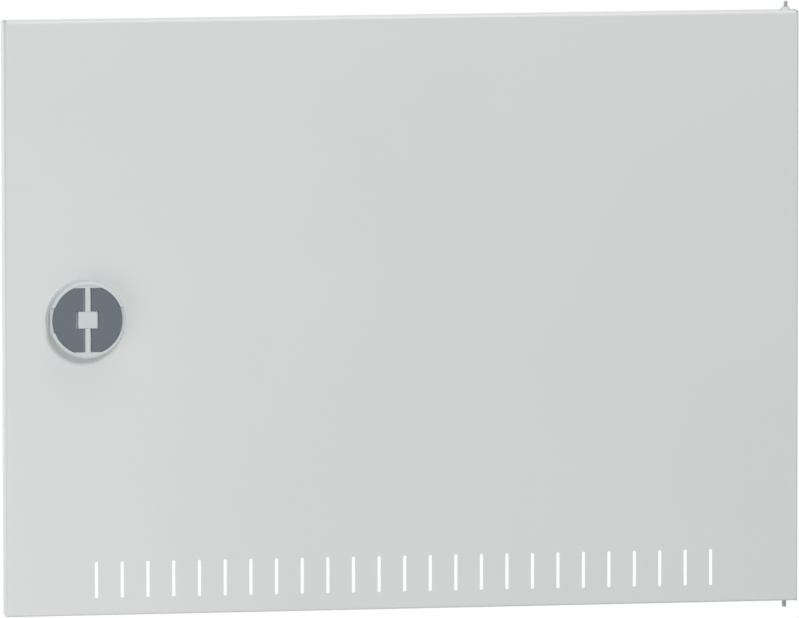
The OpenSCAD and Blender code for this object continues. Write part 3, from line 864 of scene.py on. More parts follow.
@dataclass
class DoorLeaf:
    """The folded sheet with its row of slots, and the stiffener welded up its middle."""

    sheet: float = 1.25 * MM
    fold: float = 1.0 * MM
    lip: float = 12.0 * MM
    seam: float = 0.4 * MM
    slot_count: int = 25
    slot_pitch: float = 25.0 * MM
    slot_width: float = 3.2 * MM
    slot_length: float = 35.2 * MM
    slot_first: float = 87.4 * MM
    slot_height: float = 34.4 * MM
    slot_rim: float = 0.12 * MM
    row_inset: float = 50.0 * MM
    tube_hole: float = 12.15 * MM
    tube_flats: float = 10.65 * MM
    bush_hole: float = 4.0 * MM
    pin_hole: float = 2.5 * MM
    buffer_hole: float = 2.1 * MM
    foot: float = 14.0 * MM
    foot_sheet: float = 1.0 * MM
    spot: float = 2.6 * MM
    spot_depth: float = 0.15 * MM
    spot_inset: float = 20.0 * MM
    spot_count: int = 9

    def __post_init__(self) -> None:
        """Reads the leaf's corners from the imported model."""
        self.low, self.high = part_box("door_leaf")
        self.outer = self.fold + self.sheet

    def fold_edge(
        self, piece: Piece, test: Callable[..., bool], out: Vector, lip_test: Callable[..., bool]
    ) -> None:
        """Folds one edge of the sheet back and gives it its lip with mitred ends.

        Args:
            piece: The sheet.
            test: Picks the edge's segments by their middle and direction.
            out: The way out of the leaf across that edge.
            lip_test: Picks the segments at the back that carry the lip.
        """
        mark(piece, Element.EDGE, test)
        along = Vector((0, 1, 0)).cross(out)
        middle = (self.low + self.high) / 2
        half = (self.high - self.low) / 2
        reach = abs(half.dot(out))
        bend = middle + out * (reach - self.outer)
        for depth in (self.low.y + self.outer, self.high.y - self.outer):
            centre = (bend.x, depth, bend.z)
            bpy.ops.mesh.spin(steps=8, angle=math.pi / 2, center=centre, axis=along)
            if depth < middle.y:
                way = (0, self.high.y - self.low.y - 2 * self.outer, 0)
                bpy.ops.mesh.extrude_region_move(TRANSFORM_OT_translate={"value": way})
        done()
        mark(piece, Element.EDGE, lip_test)
        bpy.ops.mesh.extrude_region_move(TRANSFORM_OT_translate={"value": -out * (self.lip - self.outer)})
        run = 2 * abs(half.dot(along))
        ratio = (run - 2 * (self.lip + self.seam)) / (run - 2 * (self.outer + self.seam))
        scale = [ratio if abs(part) > 0.5 else 1 for part in along]
        bpy.ops.transform.resize(value=scale, center_override=middle)
        done()

    def build_leaf(self) -> Piece:
        """Folds the sheet, thickens it, and punches its slots and holes.

        Returns:
            The finished leaf.
        """
        low, high, outer, seam = self.low, self.high, self.outer, self.seam
        bpy.ops.object.select_all(action="DESELECT")
        centre = (low + high) / 2
        bpy.ops.mesh.primitive_plane_add(
            size=1, location=(centre.x, low.y, centre.z), rotation=(math.pi / 2, 0, 0)
        )
        piece = name_piece("leaf_sheet")
        piece.scale = (high.x - low.x - 2 * outer, high.z - low.z - 2 * outer, 1)
        settle(piece)
        cuts = [((x, 0, 0), (1, 0, 0)) for x in (low.x + outer + seam, high.x - outer - seam)]
        cuts += [((0, 0, z), (0, 0, 1)) for z in (low.z + outer + seam, high.z - outer - seam)]
        for point, normal in cuts:
            mark(piece, Element.FACE, lambda place, facing: True)
            bpy.ops.mesh.bisect(plane_co=point, plane_no=normal)
        done()
        near = 0.05 * MM
        upright = (low.z + outer + seam, high.z - outer - seam)
        # The side edges run the full height, so their ends stand past the flat of the sheet
        for z, way in ((high.z - outer, outer), (low.z + outer, -outer)):
            for x in (low.x + outer, high.x - outer):
                mark(piece, Element.VERTEX, lambda place: abs(place.x - x) < near and abs(place.z - z) < near)
                bpy.ops.mesh.extrude_vertices_move(TRANSFORM_OT_translate={"value": (0, 0, way)})
        done()
        for side in (-1, 1):
            edge_x = (low.x + outer) if side < 0 else (high.x - outer)
            self.fold_edge(
                piece,
                lambda place, way: abs(place.x - edge_x) < near and abs(way.z) > abs(way.x),
                Vector((side, 0, 0)),
                lambda place, way: abs(place.x - edge_x) < near and abs(place.y - high.y) < near
                and abs(way.z) > abs(way.x) and upright[0] - near < place.z < upright[1] + near,
            )
        for side in (-1, 1):
            edge_z = (low.z + outer) if side < 0 else (high.z - outer)
            inside = (low.x + outer + seam, high.x - outer - seam)
            self.fold_edge(
                piece,
                lambda place, way: abs(place.z - edge_z) < near and abs(place.y - low.y) < near
                and abs(way.x) > abs(way.z) and inside[0] < place.x < inside[1],
                Vector((0, 0, side)),
                lambda place, way: abs(place.z - edge_z) < near and abs(place.y - high.y) < near
                and abs(way.x) > abs(way.z) and inside[0] < place.x < inside[1],
            )
        mark(piece, Element.FACE, lambda place, facing: True)
        bpy.ops.mesh.normals_make_consistent(inside=False)
        done()
        front = max(piece.data.polygons, key=lambda face: face.area)
        if front.normal.y > 0:
            mark(piece, Element.FACE, lambda place, facing: True)
            bpy.ops.mesh.flip_normals()
            done()
        modifier = piece.modifiers.new("sheet", "SOLIDIFY")
        modifier.thickness = self.sheet
        modifier.offset = -1
        modifier.use_even_offset = True
        pick(piece)
        bpy.ops.object.modifier_apply(modifier=modifier.name)
        self.punch(piece)
        return piece

    def punch(self, piece: Piece) -> None:
        """Punches the slots and the holes and rolls the slots' rims.

        Args:
            piece: The folded leaf.
        """
        low, high = self.low, self.high
        half = self.slot_width / 2
        first = low.x + self.slot_first
        tool = block("slots", (first - half, low.y - MM, self.slot_height - self.slot_length / 2),
                     (first + half, low.y + self.sheet + MM, self.slot_height + self.slot_length / 2))
        mark(tool, Element.EDGE, lambda place, way: abs(way.y) > abs(way.x) + abs(way.z))
        bpy.ops.mesh.bevel(offset=half * 0.9999, segments=10, affect="EDGES", clamp_overlap=True)
        done()
        repeat(tool, self.slot_count, (self.slot_pitch, 0, 0))
        work(piece, tool, Cut.AWAY)
        axis, reach = Latch.axis_point(), 3 * MM
        tool = rod("tube", self.tube_hole, -reach, reach)
        flats = block("flats", (-self.tube_flats, -FAR, -FAR), (self.tube_flats, FAR, FAR))
        work(tool, flats, Cut.WITHIN)
        work(piece, place(tool, Turn.TO_FRONT, axis), Cut.AWAY)
        work(piece, rod("bush", self.bush_hole, high.z - reach, high.z + reach, 48), Cut.AWAY)
        work(piece, rod("pin", self.pin_hole, low.z - reach, low.z + reach, 48), Cut.AWAY)
        for node in ("upper_buffer", "lower_buffer"):
            corner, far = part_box(node)
            middle = (corner + far) / 2
            tool = rod("hole", self.buffer_hole, -reach, reach, 32)
            work(piece, place(tool, Turn.TO_BACK, (middle.x, high.y, middle.z)), Cut.AWAY)
        rim = (self.slot_height - self.slot_length / 2 - MM, self.slot_height + self.slot_length / 2 + MM)
        row = (low.x + self.row_inset, high.x - self.row_inset)
        sharp = self.sharp_edges(piece, 50)
        planes = (low.y, low.y + self.sheet)
        mark(
            piece,
            Element.EDGE,
            lambda place, way: rim[0] < place.z < rim[1] and abs(way.y) < 1e-6
            and min(abs(place.y - plane) for plane in planes) < 1e-5
            and row[0] < place.x < row[1] and self.key(place) in sharp,
        )
        bpy.ops.mesh.bevel(offset=self.slot_rim, segments=2, affect="EDGES", clamp_overlap=True)
        done()
        smooth(piece, angle=30)

    def build_stiffener(self) -> Piece:
        """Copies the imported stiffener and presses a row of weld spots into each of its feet.

        Returns:
            The finished stiffener.
        """
        piece = tidy_copy("centre_stiffener", "stiffener_hat")
        low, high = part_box("centre_stiffener")
        back = self.low.y + self.sheet + self.foot_sheet
        run = high.z - low.z - 2 * self.spot_inset
        for x in (low.x + self.foot / 2, high.x - self.foot / 2):
            spots = rod("spot", self.spot, -self.spot_depth, MM, 24)
            place(spots, Turn.TO_BACK, (x, back, low.z + self.spot_inset))
            repeat(spots, self.spot_count, (0, 0, run / (self.spot_count - 1)))
            work(piece, spots, Cut.AWAY)
        smooth(piece, angle=30)
        return piece

    @staticmethod
    def key(place: Vector) -> tuple[int, int, int]:
        """Rounds a place to a micrometre, to find an edge again.

        Args:
            place: The place.

        Returns:
            Its parts in whole micrometres.
        """
        return tuple(round(part * 1e6) for part in place)

    def sharp_edges(self, piece: Piece, angle: float) -> set[tuple[int, int, int]]:
        """Finds the edges between faces that meet at a sharp angle.

        Args:
            piece: The mesh object.
            angle: The least angle, in degrees.

        Returns:
            The rounded middles of those edges.
        """
        mesh = piece.data
        faces: dict[tuple[int, int], list[Vector]] = {}
        for face in mesh.polygons:
            for pair in face.edge_keys:
                faces.setdefault(pair, []).append(face.normal)
        found = set()
        for (a, b), normals in faces.items():
            if len(normals) == 2 and normals[0].angle(normals[1], 0) > math.radians(angle):
                found.add(self.key((mesh.vertices[a].co + mesh.vertices[b].co) / 2))
        return found

    def build(self, shop: Shop) -> None:
        """Builds and dresses the leaf and its stiffener.

        Args:
            shop: The finishes.
        """
        shop.finish(self.build_leaf(), shop.paint, "leaf", "door_leaf")
        shop.finish(self.build_stiffener(), shop.paint, "leaf", "centre_stiffener")


@dataclass
class Latch:
    """The round quarter-turn latch: its rose, its handle with inserts and cap, and what is behind."""

    ring: float = 15.0 * MM
    field_drop: float = 0.6 * MM
    back: float = 3.4 * MM
    radius: float = 37.4 * MM
    edge: float = 2.4 * MM
    field: float = 33.8 * MM
    half_height: float = 31.0 * MM
    seat: float = 11.6 * MM
    insert_top: float = 13.8 * MM
    bar: float = 4.7 * MM
    slit: float = 1.6 * MM
    slit_drop: float = 1.0 * MM
    gap: float = 0.1 * MM
    cap_width: float = 18.5 * MM
    cap_height: float = 16.5 * MM
    cap: float = 2.0 * MM
    plug: float = 3.0 * MM
    grip_half: float = 12.1 * MM
    grip_flat: float = 35.7 * MM
    grip_floor: float = 11.9 * MM
    plate_back: float = 8.6 * MM
    hollow: float = 33.3 * MM
    boss: float = 11.0 * MM
    hub: float = 8.0 * MM
    hub_end: float = -9.5 * MM
    rib: float = 2.4 * MM
    rib_count: int = 8
    rib_rise: float = 0.2 * MM
    sunk: float = 0.5 * MM
    hub_soft: float = 0.4 * MM
    cap_soft: float = 0.45 * MM
    thread_gap: float = 0.4 * MM
    soft: float = 0.35 * MM
    plug_margin: float = 2.5 * MM
    plug_end: float = 9.4 * MM
    head: float = 4.9 * MM
    head_seat: float = 5.9 * MM
    screw_hole: float = 2.7 * MM
    socket: float = 4.0 * MM
    socket_top: float = 1.7 * MM
    gasket_width: float = 3.5 * MM
    tube_pitch: float = 1.5 * MM
    spindle_pitch: float = 1.25 * MM
    groove: float = 0.45 * MM
    groove_depth: float = 0.18 * MM
    groove_pitch: float = 1.77 * MM
    groove_count: int = 19
    tube: float = 12.0 * MM
    tube_end: float = -9.2 * MM
    tube_nut: float = 32.0 * MM
    tube_nut_faces: tuple[float, float] = (-5.25 * MM, -1.25 * MM)
    cam_nut: float = 13.0 * MM
    cam_nut_faces: tuple[float, float] = (-22.5 * MM, -16.0 * MM)
    spindle: float = 4.0 * MM
    spindle_end: float = -24.0 * MM

    @staticmethod
    def axis_point() -> Vector:
        """Finds where the latch's axis meets the front face of the leaf.

        Returns:
            That place.
        """
        low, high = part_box("rose_gasket")
        middle = (low + high) / 2
        return Vector((middle.x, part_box("door_leaf")[0].y, middle.z))

    def seat_on_axis(self, piece: Piece) -> Piece:
        """Turns a piece made along +Z to the front, on the latch's axis.

        Args:
            piece: The piece.

        Returns:
            The same piece.
        """
        return place(piece, Turn.TO_FRONT, self.axis_point())

    def field_block(self, low: float, high: float, gap: float = 0.0) -> Piece:
        """Makes the round field with straight ends.

        Args:
            low: Its lower face.
            high: Its upper face.
            gap: How much smaller it is all round.

        Returns:
            The new piece.
        """
        piece = rod("field", self.field - gap, low, high, 160)
        reach = self.half_height - gap
        work(piece, block("ends", (-FAR, -reach, low - MM), (FAR, reach, high + MM)), Cut.WITHIN)
        return piece

    def bar_block(self, low: float, high: float, side: float = 0.0, end: float = 0.0) -> Piece:
        """Makes the upright bar with the pad for the cap.

        Args:
            low: Its lower face.
            high: Its upper face.
            side: How much wider it is to each side.
            end: How much longer the pad is at each end.

        Returns:
            The new piece.
        """
        half_bar = self.bar / 2 + side
        half_pad = (self.cap_width / 2 + side, self.cap_height / 2 + end)
        piece = block("bar", (-half_bar, -FAR, low), (half_bar, FAR, high))
        pad = block("pad", (-half_pad[0], -half_pad[1], low - MM), (half_pad[0], half_pad[1], high + MM))
        work(piece, pad, Cut.ON)
        return piece

    def handle_profile(self) -> list[tuple[float, float]]:
        """Lists the corners of the handle's turned body.

        Returns:
            Radius and height of each corner, from the hub's end to the middle of the field.
        """
        top, r, e, soft = self.ring, self.radius, self.edge, self.soft
        profile = [
            (0, self.hub_end), (self.hub - self.hub_soft, self.hub_end),
            (self.hub, self.hub_end + self.hub_soft),
            (self.hub, self.back), (self.boss, self.back), (self.boss, self.plate_back),
            (self.hollow, self.plate_back), (self.hollow, self.back),
            (r - soft, self.back), (r, self.back + soft),
        ]
        outer = (math.pi / 2 * i / 8 for i in range(9))
        profile += [(r - e + e * math.cos(a), top - e + e * math.sin(a)) for a in outer]
        inner = (math.pi / 2 * i / 4 for i in range(5))
        profile += [(self.field + soft - soft * math.sin(a), top - soft + soft * math.cos(a)) for a in inner]
        return profile + [(self.field, top - self.field_drop), (0, top - self.field_drop)]

    def add_ribs(self, piece: Piece) -> None:
        """Joins the ribs to the underside of the handle's plate.

        Args:
            piece: The handle's body.
        """
        low = (self.boss - self.sunk, -self.rib / 2, self.back + self.rib_rise)
        high = (self.hollow + self.sunk, self.rib / 2, self.plate_back + self.sunk)
        for i in range(self.rib_count):
            rib = block("rib", low, high)
            rib.rotation_euler = (0, 0, (i + 0.5) * math.tau / self.rib_count)
            settle(rib)
            work(piece, rib, Cut.ON)

    def cut_field(self, piece: Piece) -> None:
        """Cuts the slits, the inserts' seats and the cap's seat into the field.

        Args:
            piece: The handle's body.
        """
        top = self.ring
        half = (self.cap_width / 2, self.cap_height / 2)
        cap_seat = top - self.field_drop - self.cap
        slits = self.field_block(self.seat - self.slit_drop, top + MM, HAIR)
        work(slits, self.bar_block(0, FAR, self.slit), Cut.WITHIN)
        work(slits, self.bar_block(-FAR, FAR, HAIR, HAIR), Cut.AWAY)
        work(piece, slits, Cut.AWAY)
        seats = self.field_block(self.seat, top + MM)
        work(seats, block("bar", (-self.bar / 2, -FAR, 0), (self.bar / 2, FAR, FAR)), Cut.AWAY)
        over = block("over", (-half[0], -half[1], cap_seat - 10 * HAIR), (half[0], half[1], top + MM / 2))
        work(seats, over, Cut.ON)
        work(seats, block("under", (-half[0], -half[1], 0), (half[0], half[1], cap_seat)), Cut.AWAY)
        work(piece, seats, Cut.AWAY)

    def cut_grips(self, piece: Piece) -> None:
        """Cuts a flat and a floor for the fingers at each side of the ring.

        Args:
            piece: The handle's body.
        """
        top, reach = self.ring + MM, self.grip_half - HAIR
        for side in (-1, 1):
            start, end = sorted((side * self.grip_flat, side * FAR))
            work(piece, block("flat", (start, -self.grip_half, -MM), (end, self.grip_half, top)), Cut.AWAY)
            start, end = sorted((side * self.field / 2, side * FAR))
            work(piece, block("floor", (start, -reach, self.grip_floor), (end, reach, top)), Cut.AWAY)

    def build_handle(self) -> Piece:
        """Turns the handle's body and cuts the seats, slits, grips and sockets into it.

        Returns:
            The finished handle.
        """
        top = self.ring + MM
        piece = turned("handle_body", self.handle_profile(), 160)
        self.add_ribs(piece)
        self.cut_field(piece)
        self.cut_grips(piece)
        x = self.cap_width / 2 - self.plug_margin + self.gap
        y = self.cap_height / 2 - self.plug_margin + self.gap
        work(piece, block("plug", (-x, -y, self.plug_end), (x, y, top)), Cut.AWAY)
        work(piece, rod("head", self.head, self.head_seat, top, 48), Cut.AWAY)
        work(piece, rod("hole", self.screw_hole, 0, top, 32), Cut.AWAY)
        s = self.socket
        work(piece, block("socket", (-s, -s, -FAR), (s, s, self.socket_top)), Cut.AWAY)
        ease(piece, 0.22 * MM, angle=42)
        smooth(piece, angle=32)
        return self.seat_on_axis(piece)

    def build_insert(self, name: str, side: int) -> Piece:
        """Cuts one half of the dark field.

        Args:
            name: The piece's name.
            side: -1 for the left half and 1 for the right one.

        Returns:
            The finished insert.
        """
        piece = self.field_block(self.seat, self.insert_top, self.gap)
        work(piece, self.bar_block(self.seat - MM, self.insert_top + MM, self.slit, self.gap), Cut.AWAY)
        start, end = sorted((0.0, -side * FAR))
        work(piece, block("other", (start, -FAR, 0), (end, FAR, FAR)), Cut.AWAY)
        piece.name = piece.data.name = name
        ease(piece, 0.2 * MM, angle=42)
        first = self.groove_pitch * side
        groove = block("groove", (first - self.groove / 2, -FAR, self.insert_top - self.groove_depth),
                       (first + self.groove / 2, FAR, self.insert_top + MM))
        repeat(groove, self.groove_count, (self.groove_pitch * side, 0, 0))
        work(piece, groove, Cut.AWAY)
        smooth(piece, angle=32)
        return self.seat_on_axis(piece)

    def build_cap(self) -> Piece:
        """Makes the plain cap with its plug.

        Returns:
            The finished cap.
        """
        top = self.ring - self.field_drop
        half = (self.cap_width / 2 - self.gap, self.cap_height / 2 - self.gap)
        piece = block("cap_plate", (-half[0], -half[1], top - self.cap), (half[0], half[1], top))
        mark(piece, Element.EDGE, lambda place, way: place.z > top - 0.1 * MM)
        bpy.ops.mesh.bevel(offset=self.cap_soft, segments=3, affect="EDGES")
        done()
        x, y = self.cap_width / 2 - self.plug_margin, self.cap_height / 2 - self.plug_margin
        work(piece, block("plug", (-x, -y, top - self.cap - self.plug), (x, y, top - MM)), Cut.ON)
        smooth(piece, angle=32)
        return self.seat_on_axis(piece)

    def build_rose(self) -> Piece:
        """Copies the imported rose, cuts the thread behind its nut and eases its edges.

        Returns:
            The finished rose.
        """
        piece = tidy_copy("latch_rose", "rose_disc")
        ease(piece, 0.2 * MM, angle=60)
        low, high = self.tube_end - self.thread_gap, self.tube_nut_faces[0] - self.thread_gap
        cut_thread(piece, self.tube, self.tube_pitch, (low, high), Turn.TO_FRONT, self.axis_point())
        smooth(piece, angle=30)
        return piece

    def build_gasket(self) -> Piece:
        """Turns the rubber ring that lies between the rose and the leaf.

        Returns:
            The finished gasket.
        """
        low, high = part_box("rose_gasket")
        outer = (high.x - low.x) / 2
        inner, thick, e = outer - self.gasket_width, high.y - low.y, 0.2 * MM
        profile = [(inner, e), (inner + e, 0), (outer - e, 0), (outer, e), (outer, thick - e),
                   (outer - e, thick), (inner + e, thick), (inner, thick - e), (inner, e)]
        piece = turned("gasket_ring", profile, 128)
        smooth(piece, angle=40)
        return self.seat_on_axis(piece)

    def build_metal(self, node: str, edge: float) -> Piece:
        """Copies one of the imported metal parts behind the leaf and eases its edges.

        Args:
            node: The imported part.
            edge: The width of its eased edges.

        Returns:
            The finished part.
        """
        piece = tidy_copy(node, node + "_metal")
        axis = self.axis_point()
        if node == "rose_nut":
            crown(piece, self.tube_nut, self.tube_nut_faces, Turn.TO_FRONT, axis)
        elif node == "cam_nut":
            crown(piece, self.cam_nut, self.cam_nut_faces, Turn.TO_FRONT, axis)
        else:
            ease(piece, edge, angle=50)
        if node == "latch_spindle":
            ends = (self.spindle_end - MM, self.cam_nut_faces[0])
            cut_thread(piece, self.spindle, self.spindle_pitch, ends, Turn.TO_FRONT, axis)
        smooth(piece, angle=30)
        return piece

    def build(self, shop: Shop) -> None:
        """Builds and dresses the latch.

        Args:
            shop: The finishes.
        """
        shop.finish(self.build_handle(), shop.pale, "latch", "latch_handle")
        shop.finish(self.build_insert("insert_left", -1), shop.dark, "latch", "left_insert")
        shop.finish(self.build_insert("insert_right", 1), shop.dark, "latch", "right_insert")
        shop.finish(self.build_cap(), shop.pale, "latch", "centre_cap")
        shop.finish(self.build_rose(), shop.pale, "leaf", "latch_rose")
        shop.finish(self.build_gasket(), shop.rubber, "leaf", "rose_gasket")
        edges = {"rose_nut": 0.0, "cam_nut": 0.0, "handle_screw": 0.15, "latch_spindle": 0.2,
                 "stop_disc": 0.25, "latch_cam": 0.35, "cam_washer": 0.2}
        for node, edge in edges.items():
            body = "leaf" if node == "rose_nut" else "latch"
            shop.finish(self.build_metal(node, edge * MM), shop.zinc, body, node)


@dataclass
class HingePins:
    """The two hinge pins with their brackets, bush, clips and spring."""

    shank: float = 2.5 * MM
    clip: float = 5.0 * MM
    clip_relief: float = 3.7 * MM
    clip_prong: float = 1.7 * MM
    clip_mouth: float = 3.6 * MM
    wire: float = 0.45 * MM
    spring_radius: float = 3.45 * MM
    turns: int = 15
    travel: float = 9.5 * MM
    bracket: float = 2.0 * MM
    spot: float = 2.4 * MM
    spot_depth: float = 0.15 * MM

    def build_clip(self, node: str, mouth: float) -> Piece:
        """Makes an open clip whose three prongs hold the pin.

        Args:
            node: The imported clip.
            mouth: The way in which it opens, as an angle round the pin.

        Returns:
            The finished clip.
        """
        low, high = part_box(node)
        piece = rod(node + "_piece", self.clip, low.z, high.z, 64)
        work(piece, rod("relief", self.clip_relief, low.z - MM, high.z + MM, 48), Cut.AWAY)
        for i in range(3):
            half = self.clip_prong / 2
            prong = block("prong", (-half, 0, low.z), (half, self.clip - 0.5 * MM, high.z))
            prong.rotation_euler = (0, 0, mouth + math.pi * (i - 1) / 2)
            settle(prong)
            work(piece, prong, Cut.ON)
        work(piece, rod("bore", self.shank, low.z - MM, high.z + MM, 48), Cut.AWAY)
        half = self.clip_mouth / 2
        opening = block("mouth", (-half, -2 * self.clip, low.z - MM), (half, 0, high.z + MM))
        opening.rotation_euler = (0, 0, mouth)
        settle(opening)
        work(piece, opening, Cut.AWAY)
        ease(piece, 0.12 * MM, angle=50)
        smooth(piece, angle=30)
        return piece

    def build_spring(self) -> Piece:
        """Winds the spring of round wire, with a closed turn at each end.

        Returns:
            The finished spring.
        """
        low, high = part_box("pin_spring")
        start, span = low.z + self.wire, high.z - low.z - 2 * self.wire
        sides, steps = 12, 40
        tight, rise = 2 * self.wire, span / self.turns
        open_rise = (span - 2 * tight) / (self.turns - 2)
        section = [(self.spring_radius + self.wire * math.cos(a), self.wire * math.sin(a))
                   for a in (math.tau * i / sides for i in range(sides))]
        piece = coil("spring_coil", section, rise, self.turns, start, steps)
        for i, vertex in enumerate(piece.data.vertices):
            turn = (i // sides) / steps
            if turn < 1:
                height = tight * turn
            elif turn > self.turns - 1:
                height = span - tight * (self.turns - turn)
            else:
                height = tight + open_rise * (turn - 1)
            vertex.co.z += height - rise * turn
        smooth(piece, angle=60)
        return piece

    def build_bracket(self, node: str, spots: Sequence[float]) -> Piece:
        """Copies a packed bracket and presses weld spots into its web.

        Args:
            node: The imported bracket.
            spots: The heights of the spots.

        Returns:
            The finished bracket.
        """
        piece = tidy_copy(node, node + "_piece")
        low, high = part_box(node)
        face = high.x - self.bracket
        for z in spots:
            tool = rod("spot", self.spot, -MM, self.spot_depth, 24)
            work(piece, place(tool, Turn.TO_SIDE, (face, (low.y + high.y) / 2, z)), Cut.AWAY)
        smooth(piece, angle=30)
        return piece

    def build_plain(self, node: str) -> Piece:
        """Copies a packed turned part and eases its edges.

        Args:
            node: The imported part.

        Returns:
            The finished part.
        """
        piece = tidy_copy(node, node + "_piece")
        ease(piece, 0.1 * MM, angle=50)
        smooth(piece, angle=30)
        return piece

    def build(self, shop: Shop) -> None:
        """Builds and dresses the pins and what holds them.

        Args:
            shop: The finishes.
        """
        upper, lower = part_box("upper_pin_bracket"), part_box("lower_pin_bracket")
        middle, apart, low = (upper[0].z + upper[1].z) / 2, 7 * MM, lower[0].z + 4 * MM
        bracket = self.build_bracket("upper_pin_bracket", (middle - apart, middle + apart))
        shop.finish(bracket, shop.zinc, "leaf", "upper_pin_bracket")
        bracket = self.build_bracket("lower_pin_bracket", (low,))
        shop.finish(bracket, shop.zinc, "leaf", "lower_pin_bracket")
        shop.finish(self.build_plain("upper_pin_bush"), shop.pale, "leaf", "upper_pin_bush")
        shop.finish(self.build_plain("upper_hinge_pin"), shop.pin, "upper_pin", "upper_hinge_pin")
        shop.finish(self.build_plain("lower_hinge_pin"), shop.pin, "leaf", "lower_hinge_pin")
        mouth = math.radians(-60)
        shop.finish(self.build_clip("pin_clip", mouth), shop.zinc, "upper_pin", "pin_clip")
        shop.finish(self.build_clip("lower_pin_clip", mouth), shop.zinc, "leaf", "lower_pin_clip")
        spring = self.build_spring()
        shop.finish(spring, shop.spring, "leaf", "pin_spring")
        low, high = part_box("pin_spring")
        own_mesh(spring)


@dataclass
class Fittings:
    """The earth stud with its washer and nut, and the rubber buffers."""

    stud: float = 3.0 * MM
    stud_nut: float = 10.0 * MM
    pitch: float = 1.0 * MM
    sheet: float = 1.25 * MM
    neck: float = 2.1 * MM
    barb: float = 2.9 * MM
    dome: float = 1.4 * MM
    soft: float = 0.15 * MM

    def build_stud(self) -> Piece:
        """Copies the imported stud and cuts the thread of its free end.

        Returns:
            The finished stud.
        """
        piece = tidy_copy("earth_stud", "earth_stud_piece")
        low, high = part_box("earth_stud")
        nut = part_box("earth_nut")[1].y
        where = ((low.x + high.x) / 2, low.y, (low.z + high.z) / 2)
        ends = (nut - low.y - self.pitch / 2, high.y - low.y + MM)
        cut_thread(piece, self.stud, self.pitch, ends, Turn.TO_BACK, where)
        smooth(piece, angle=30)
        return piece

    def build_nut(self) -> Piece:
        """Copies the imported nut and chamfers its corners.

        Returns:
            The finished nut.
        """
        piece = tidy_copy("earth_nut", "earth_nut_piece")
        low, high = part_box("earth_nut")
        where = ((low.x + high.x) / 2, low.y, (low.z + high.z) / 2)
        crown(piece, self.stud_nut, (0.0, high.y - low.y), Turn.TO_BACK, where)
        smooth(piece, angle=30)
        return piece

    def build_buffer(self, node: str) -> Piece:
        """Turns a rubber stop with a domed head, a neck and a barbed end.

        Args:
            node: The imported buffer.

        Returns:
            The finished buffer.
        """
        low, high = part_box(node)
        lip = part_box("door_leaf")[1].y
        head, sheet, neck, barb, soft = (high.x - low.x) / 2, self.sheet, self.neck, self.barb, self.soft
        dome, tip = high.y - lip, low.y - lip
        profile = [(0, tip), (1.2 * MM, tip), (1.5 * MM, tip + 2 * soft), (barb - soft, -sheet - 0.5 * MM),
                   (barb, -sheet - 0.2 * MM), (barb - soft, -sheet), (neck, -sheet), (neck, 0),
                   (head - soft, 0), (head, soft), (head, dome - self.dome)]
        for i in range(1, 9):
            a = math.pi / 2 * i / 8
            profile.append((head * math.cos(a), dome - self.dome + self.dome * math.sin(a)))
        piece = turned(node + "_piece", profile, 48)
        smooth(piece, angle=40)
        return place(piece, Turn.TO_BACK, ((low.x + high.x) / 2, lip, (low.z + high.z) / 2))

    def build(self, shop: Shop) -> None:
        """Builds and dresses the small fittings.

        Args:
            shop: The finishes.
        """
        shop.finish(self.build_stud(), shop.copper, "leaf", "earth_stud")
        washer = tidy_copy("earth_washer", "earth_washer_piece")
        smooth(washer, angle=30)
        shop.finish(washer, shop.zinc, "leaf", "earth_washer")
        shop.finish(self.build_nut(), shop.zinc, "leaf", "earth_nut")
        for node in ("upper_buffer", "lower_buffer"):
            shop.finish(self.build_buffer(node), shop.rubber, "leaf", node)


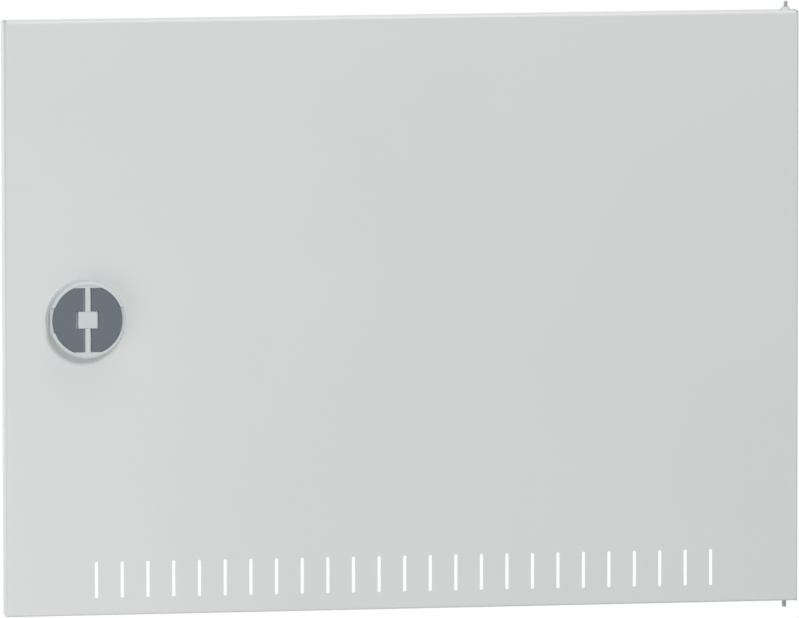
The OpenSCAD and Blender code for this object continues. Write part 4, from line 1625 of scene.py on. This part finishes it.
@dataclass
class Studio:
    """Camera, lamps, world and floor."""

    yaw: float = 0.1544
    pitch: float = 0.1078
    roll: float = -0.0011
    target: tuple[float, float, float] = (-0.3795, -0.012, 0.29138)
    distance: float = 11.804
    focal: float = 552.3
    floor: float = -0.5

    def camera(self) -> None:
        """Sets the camera a little to the left of the door and above it."""
        data = bpy.data.cameras.new("camera")
        data.lens = self.focal
        data.sensor_width = 36.0
        data.clip_end = 100.0
        camera = bpy.data.objects.new("camera", data)
        bpy.context.scene.collection.objects.link(camera)
        level = math.cos(self.pitch)
        forward = Vector((math.sin(self.yaw) * level, math.cos(self.yaw) * level, -math.sin(self.pitch)))
        camera.rotation_mode = "QUATERNION"
        look = forward.to_track_quat("-Z", "Y").to_matrix()
        right, up = look.col[0].copy(), look.col[1].copy()
        cos, sin = math.cos(self.roll), math.sin(self.roll)
        look.col[0], look.col[1] = cos * right + sin * up, cos * up - sin * right
        camera.rotation_quaternion = look.to_quaternion()
        camera.location = Vector(self.target) - self.distance * forward
        bpy.context.scene.camera = camera

    def lamp(self, name: str, way: Sequence[float], distance: float, size: float, power: float) -> None:
        """Adds a round area lamp that looks at the door.

        Args:
            name: The lamp's name.
            way: The way from the door to the lamp.
            distance: How far away it is.
            size: Its diameter.
            power: Its power in watts.
        """
        data = bpy.data.lights.new(name, "AREA")
        data.shape = "DISK"
        data.size = size
        data.energy = power
        lamp = bpy.data.objects.new(name, data)
        bpy.context.scene.collection.objects.link(lamp)
        way = Vector(way).normalized()
        lamp.location = Vector(self.target) + way * distance
        lamp.rotation_mode = "QUATERNION"
        lamp.rotation_quaternion = way.to_track_quat("Z", "Y")

    def world(self, light: float) -> None:
        """Makes a pale world that shows as white.

        Args:
            light: How strongly it lights the door.
        """
        world = bpy.data.worlds.new("studio")
        bpy.context.scene.world = world
        world.use_nodes = True
        tree = world.node_tree
        tree.nodes.clear()
        path = tree.nodes.new("ShaderNodeLightPath")
        seen = tree.nodes.new("ShaderNodeMath")
        seen.operation = "ADD"
        seen.use_clamp = True
        tree.links.new(path.outputs["Is Camera Ray"], seen.inputs[0])
        more = tree.nodes.new("ShaderNodeMath")
        more.operation = "ADD"
        tree.links.new(path.outputs["Is Glossy Ray"], more.inputs[0])
        tree.links.new(path.outputs["Is Transmission Ray"], more.inputs[1])
        tree.links.new(more.outputs[0], seen.inputs[1])
        span = tree.nodes.new("ShaderNodeMapRange")
        span.inputs["To Min"].default_value = light
        span.inputs["To Max"].default_value = 1.0
        tree.links.new(seen.outputs[0], span.inputs["Value"])
        shine = tree.nodes.new("ShaderNodeBackground")
        shine.inputs["Color"].default_value = (1, 1, 1, 1)
        tree.links.new(span.outputs["Result"], shine.inputs["Strength"])
        out = tree.nodes.new("ShaderNodeOutputWorld")
        tree.links.new(shine.outputs[0], out.inputs["Surface"])

    def ground(self) -> None:
        """Lays a plain pale floor below the door."""
        bpy.ops.object.select_all(action="DESELECT")
        bpy.ops.mesh.primitive_circle_add(vertices=96, radius=2.3, fill_type="NGON",
                                          location=(self.target[0], 0, self.floor))
        piece = name_piece("studio_floor")
        settle(piece)
        material = bpy.data.materials.new("studio_floor")
        material.use_nodes = True
        shader = material.node_tree.nodes["Principled BSDF"]
        shader.inputs["Base Color"].default_value = Colour(238, 238, 238).linear()
        shader.inputs["Roughness"].default_value = 0.8
        piece.data.materials.append(material)

    def build(self) -> None:
        """Sets up the whole studio."""
        self.camera()
        self.lamp("key", (0.13, -0.88, 0.44), 8.0, 2.5, 305.0)
        self.lamp("fill", (-0.84, -0.55, -0.26), 1.1, 0.7, 1.7)
        self.lamp("side", (-1.0, 0.7, 0.1), 1.8, 1.0, 13.0)
        self.lamp("top", (0.0, -0.12, 1.0), 1.6, 1.6, 12.5)
        self.world(0.22)
        self.ground()
        bpy.context.scene.view_settings.view_transform = "Standard"


def main() -> None:
    """Builds the door and the studio in order."""
    logging.basicConfig(level=logging.INFO, format="%(message)s")
    shop = Shop()
    for assembly in (DoorLeaf(), Latch(), HingePins(), Fittings()):
        LOG.info("%s", type(assembly).__name__)
        assembly.build(shop)
    Studio().build()


if __name__ == "__main__":
    main()
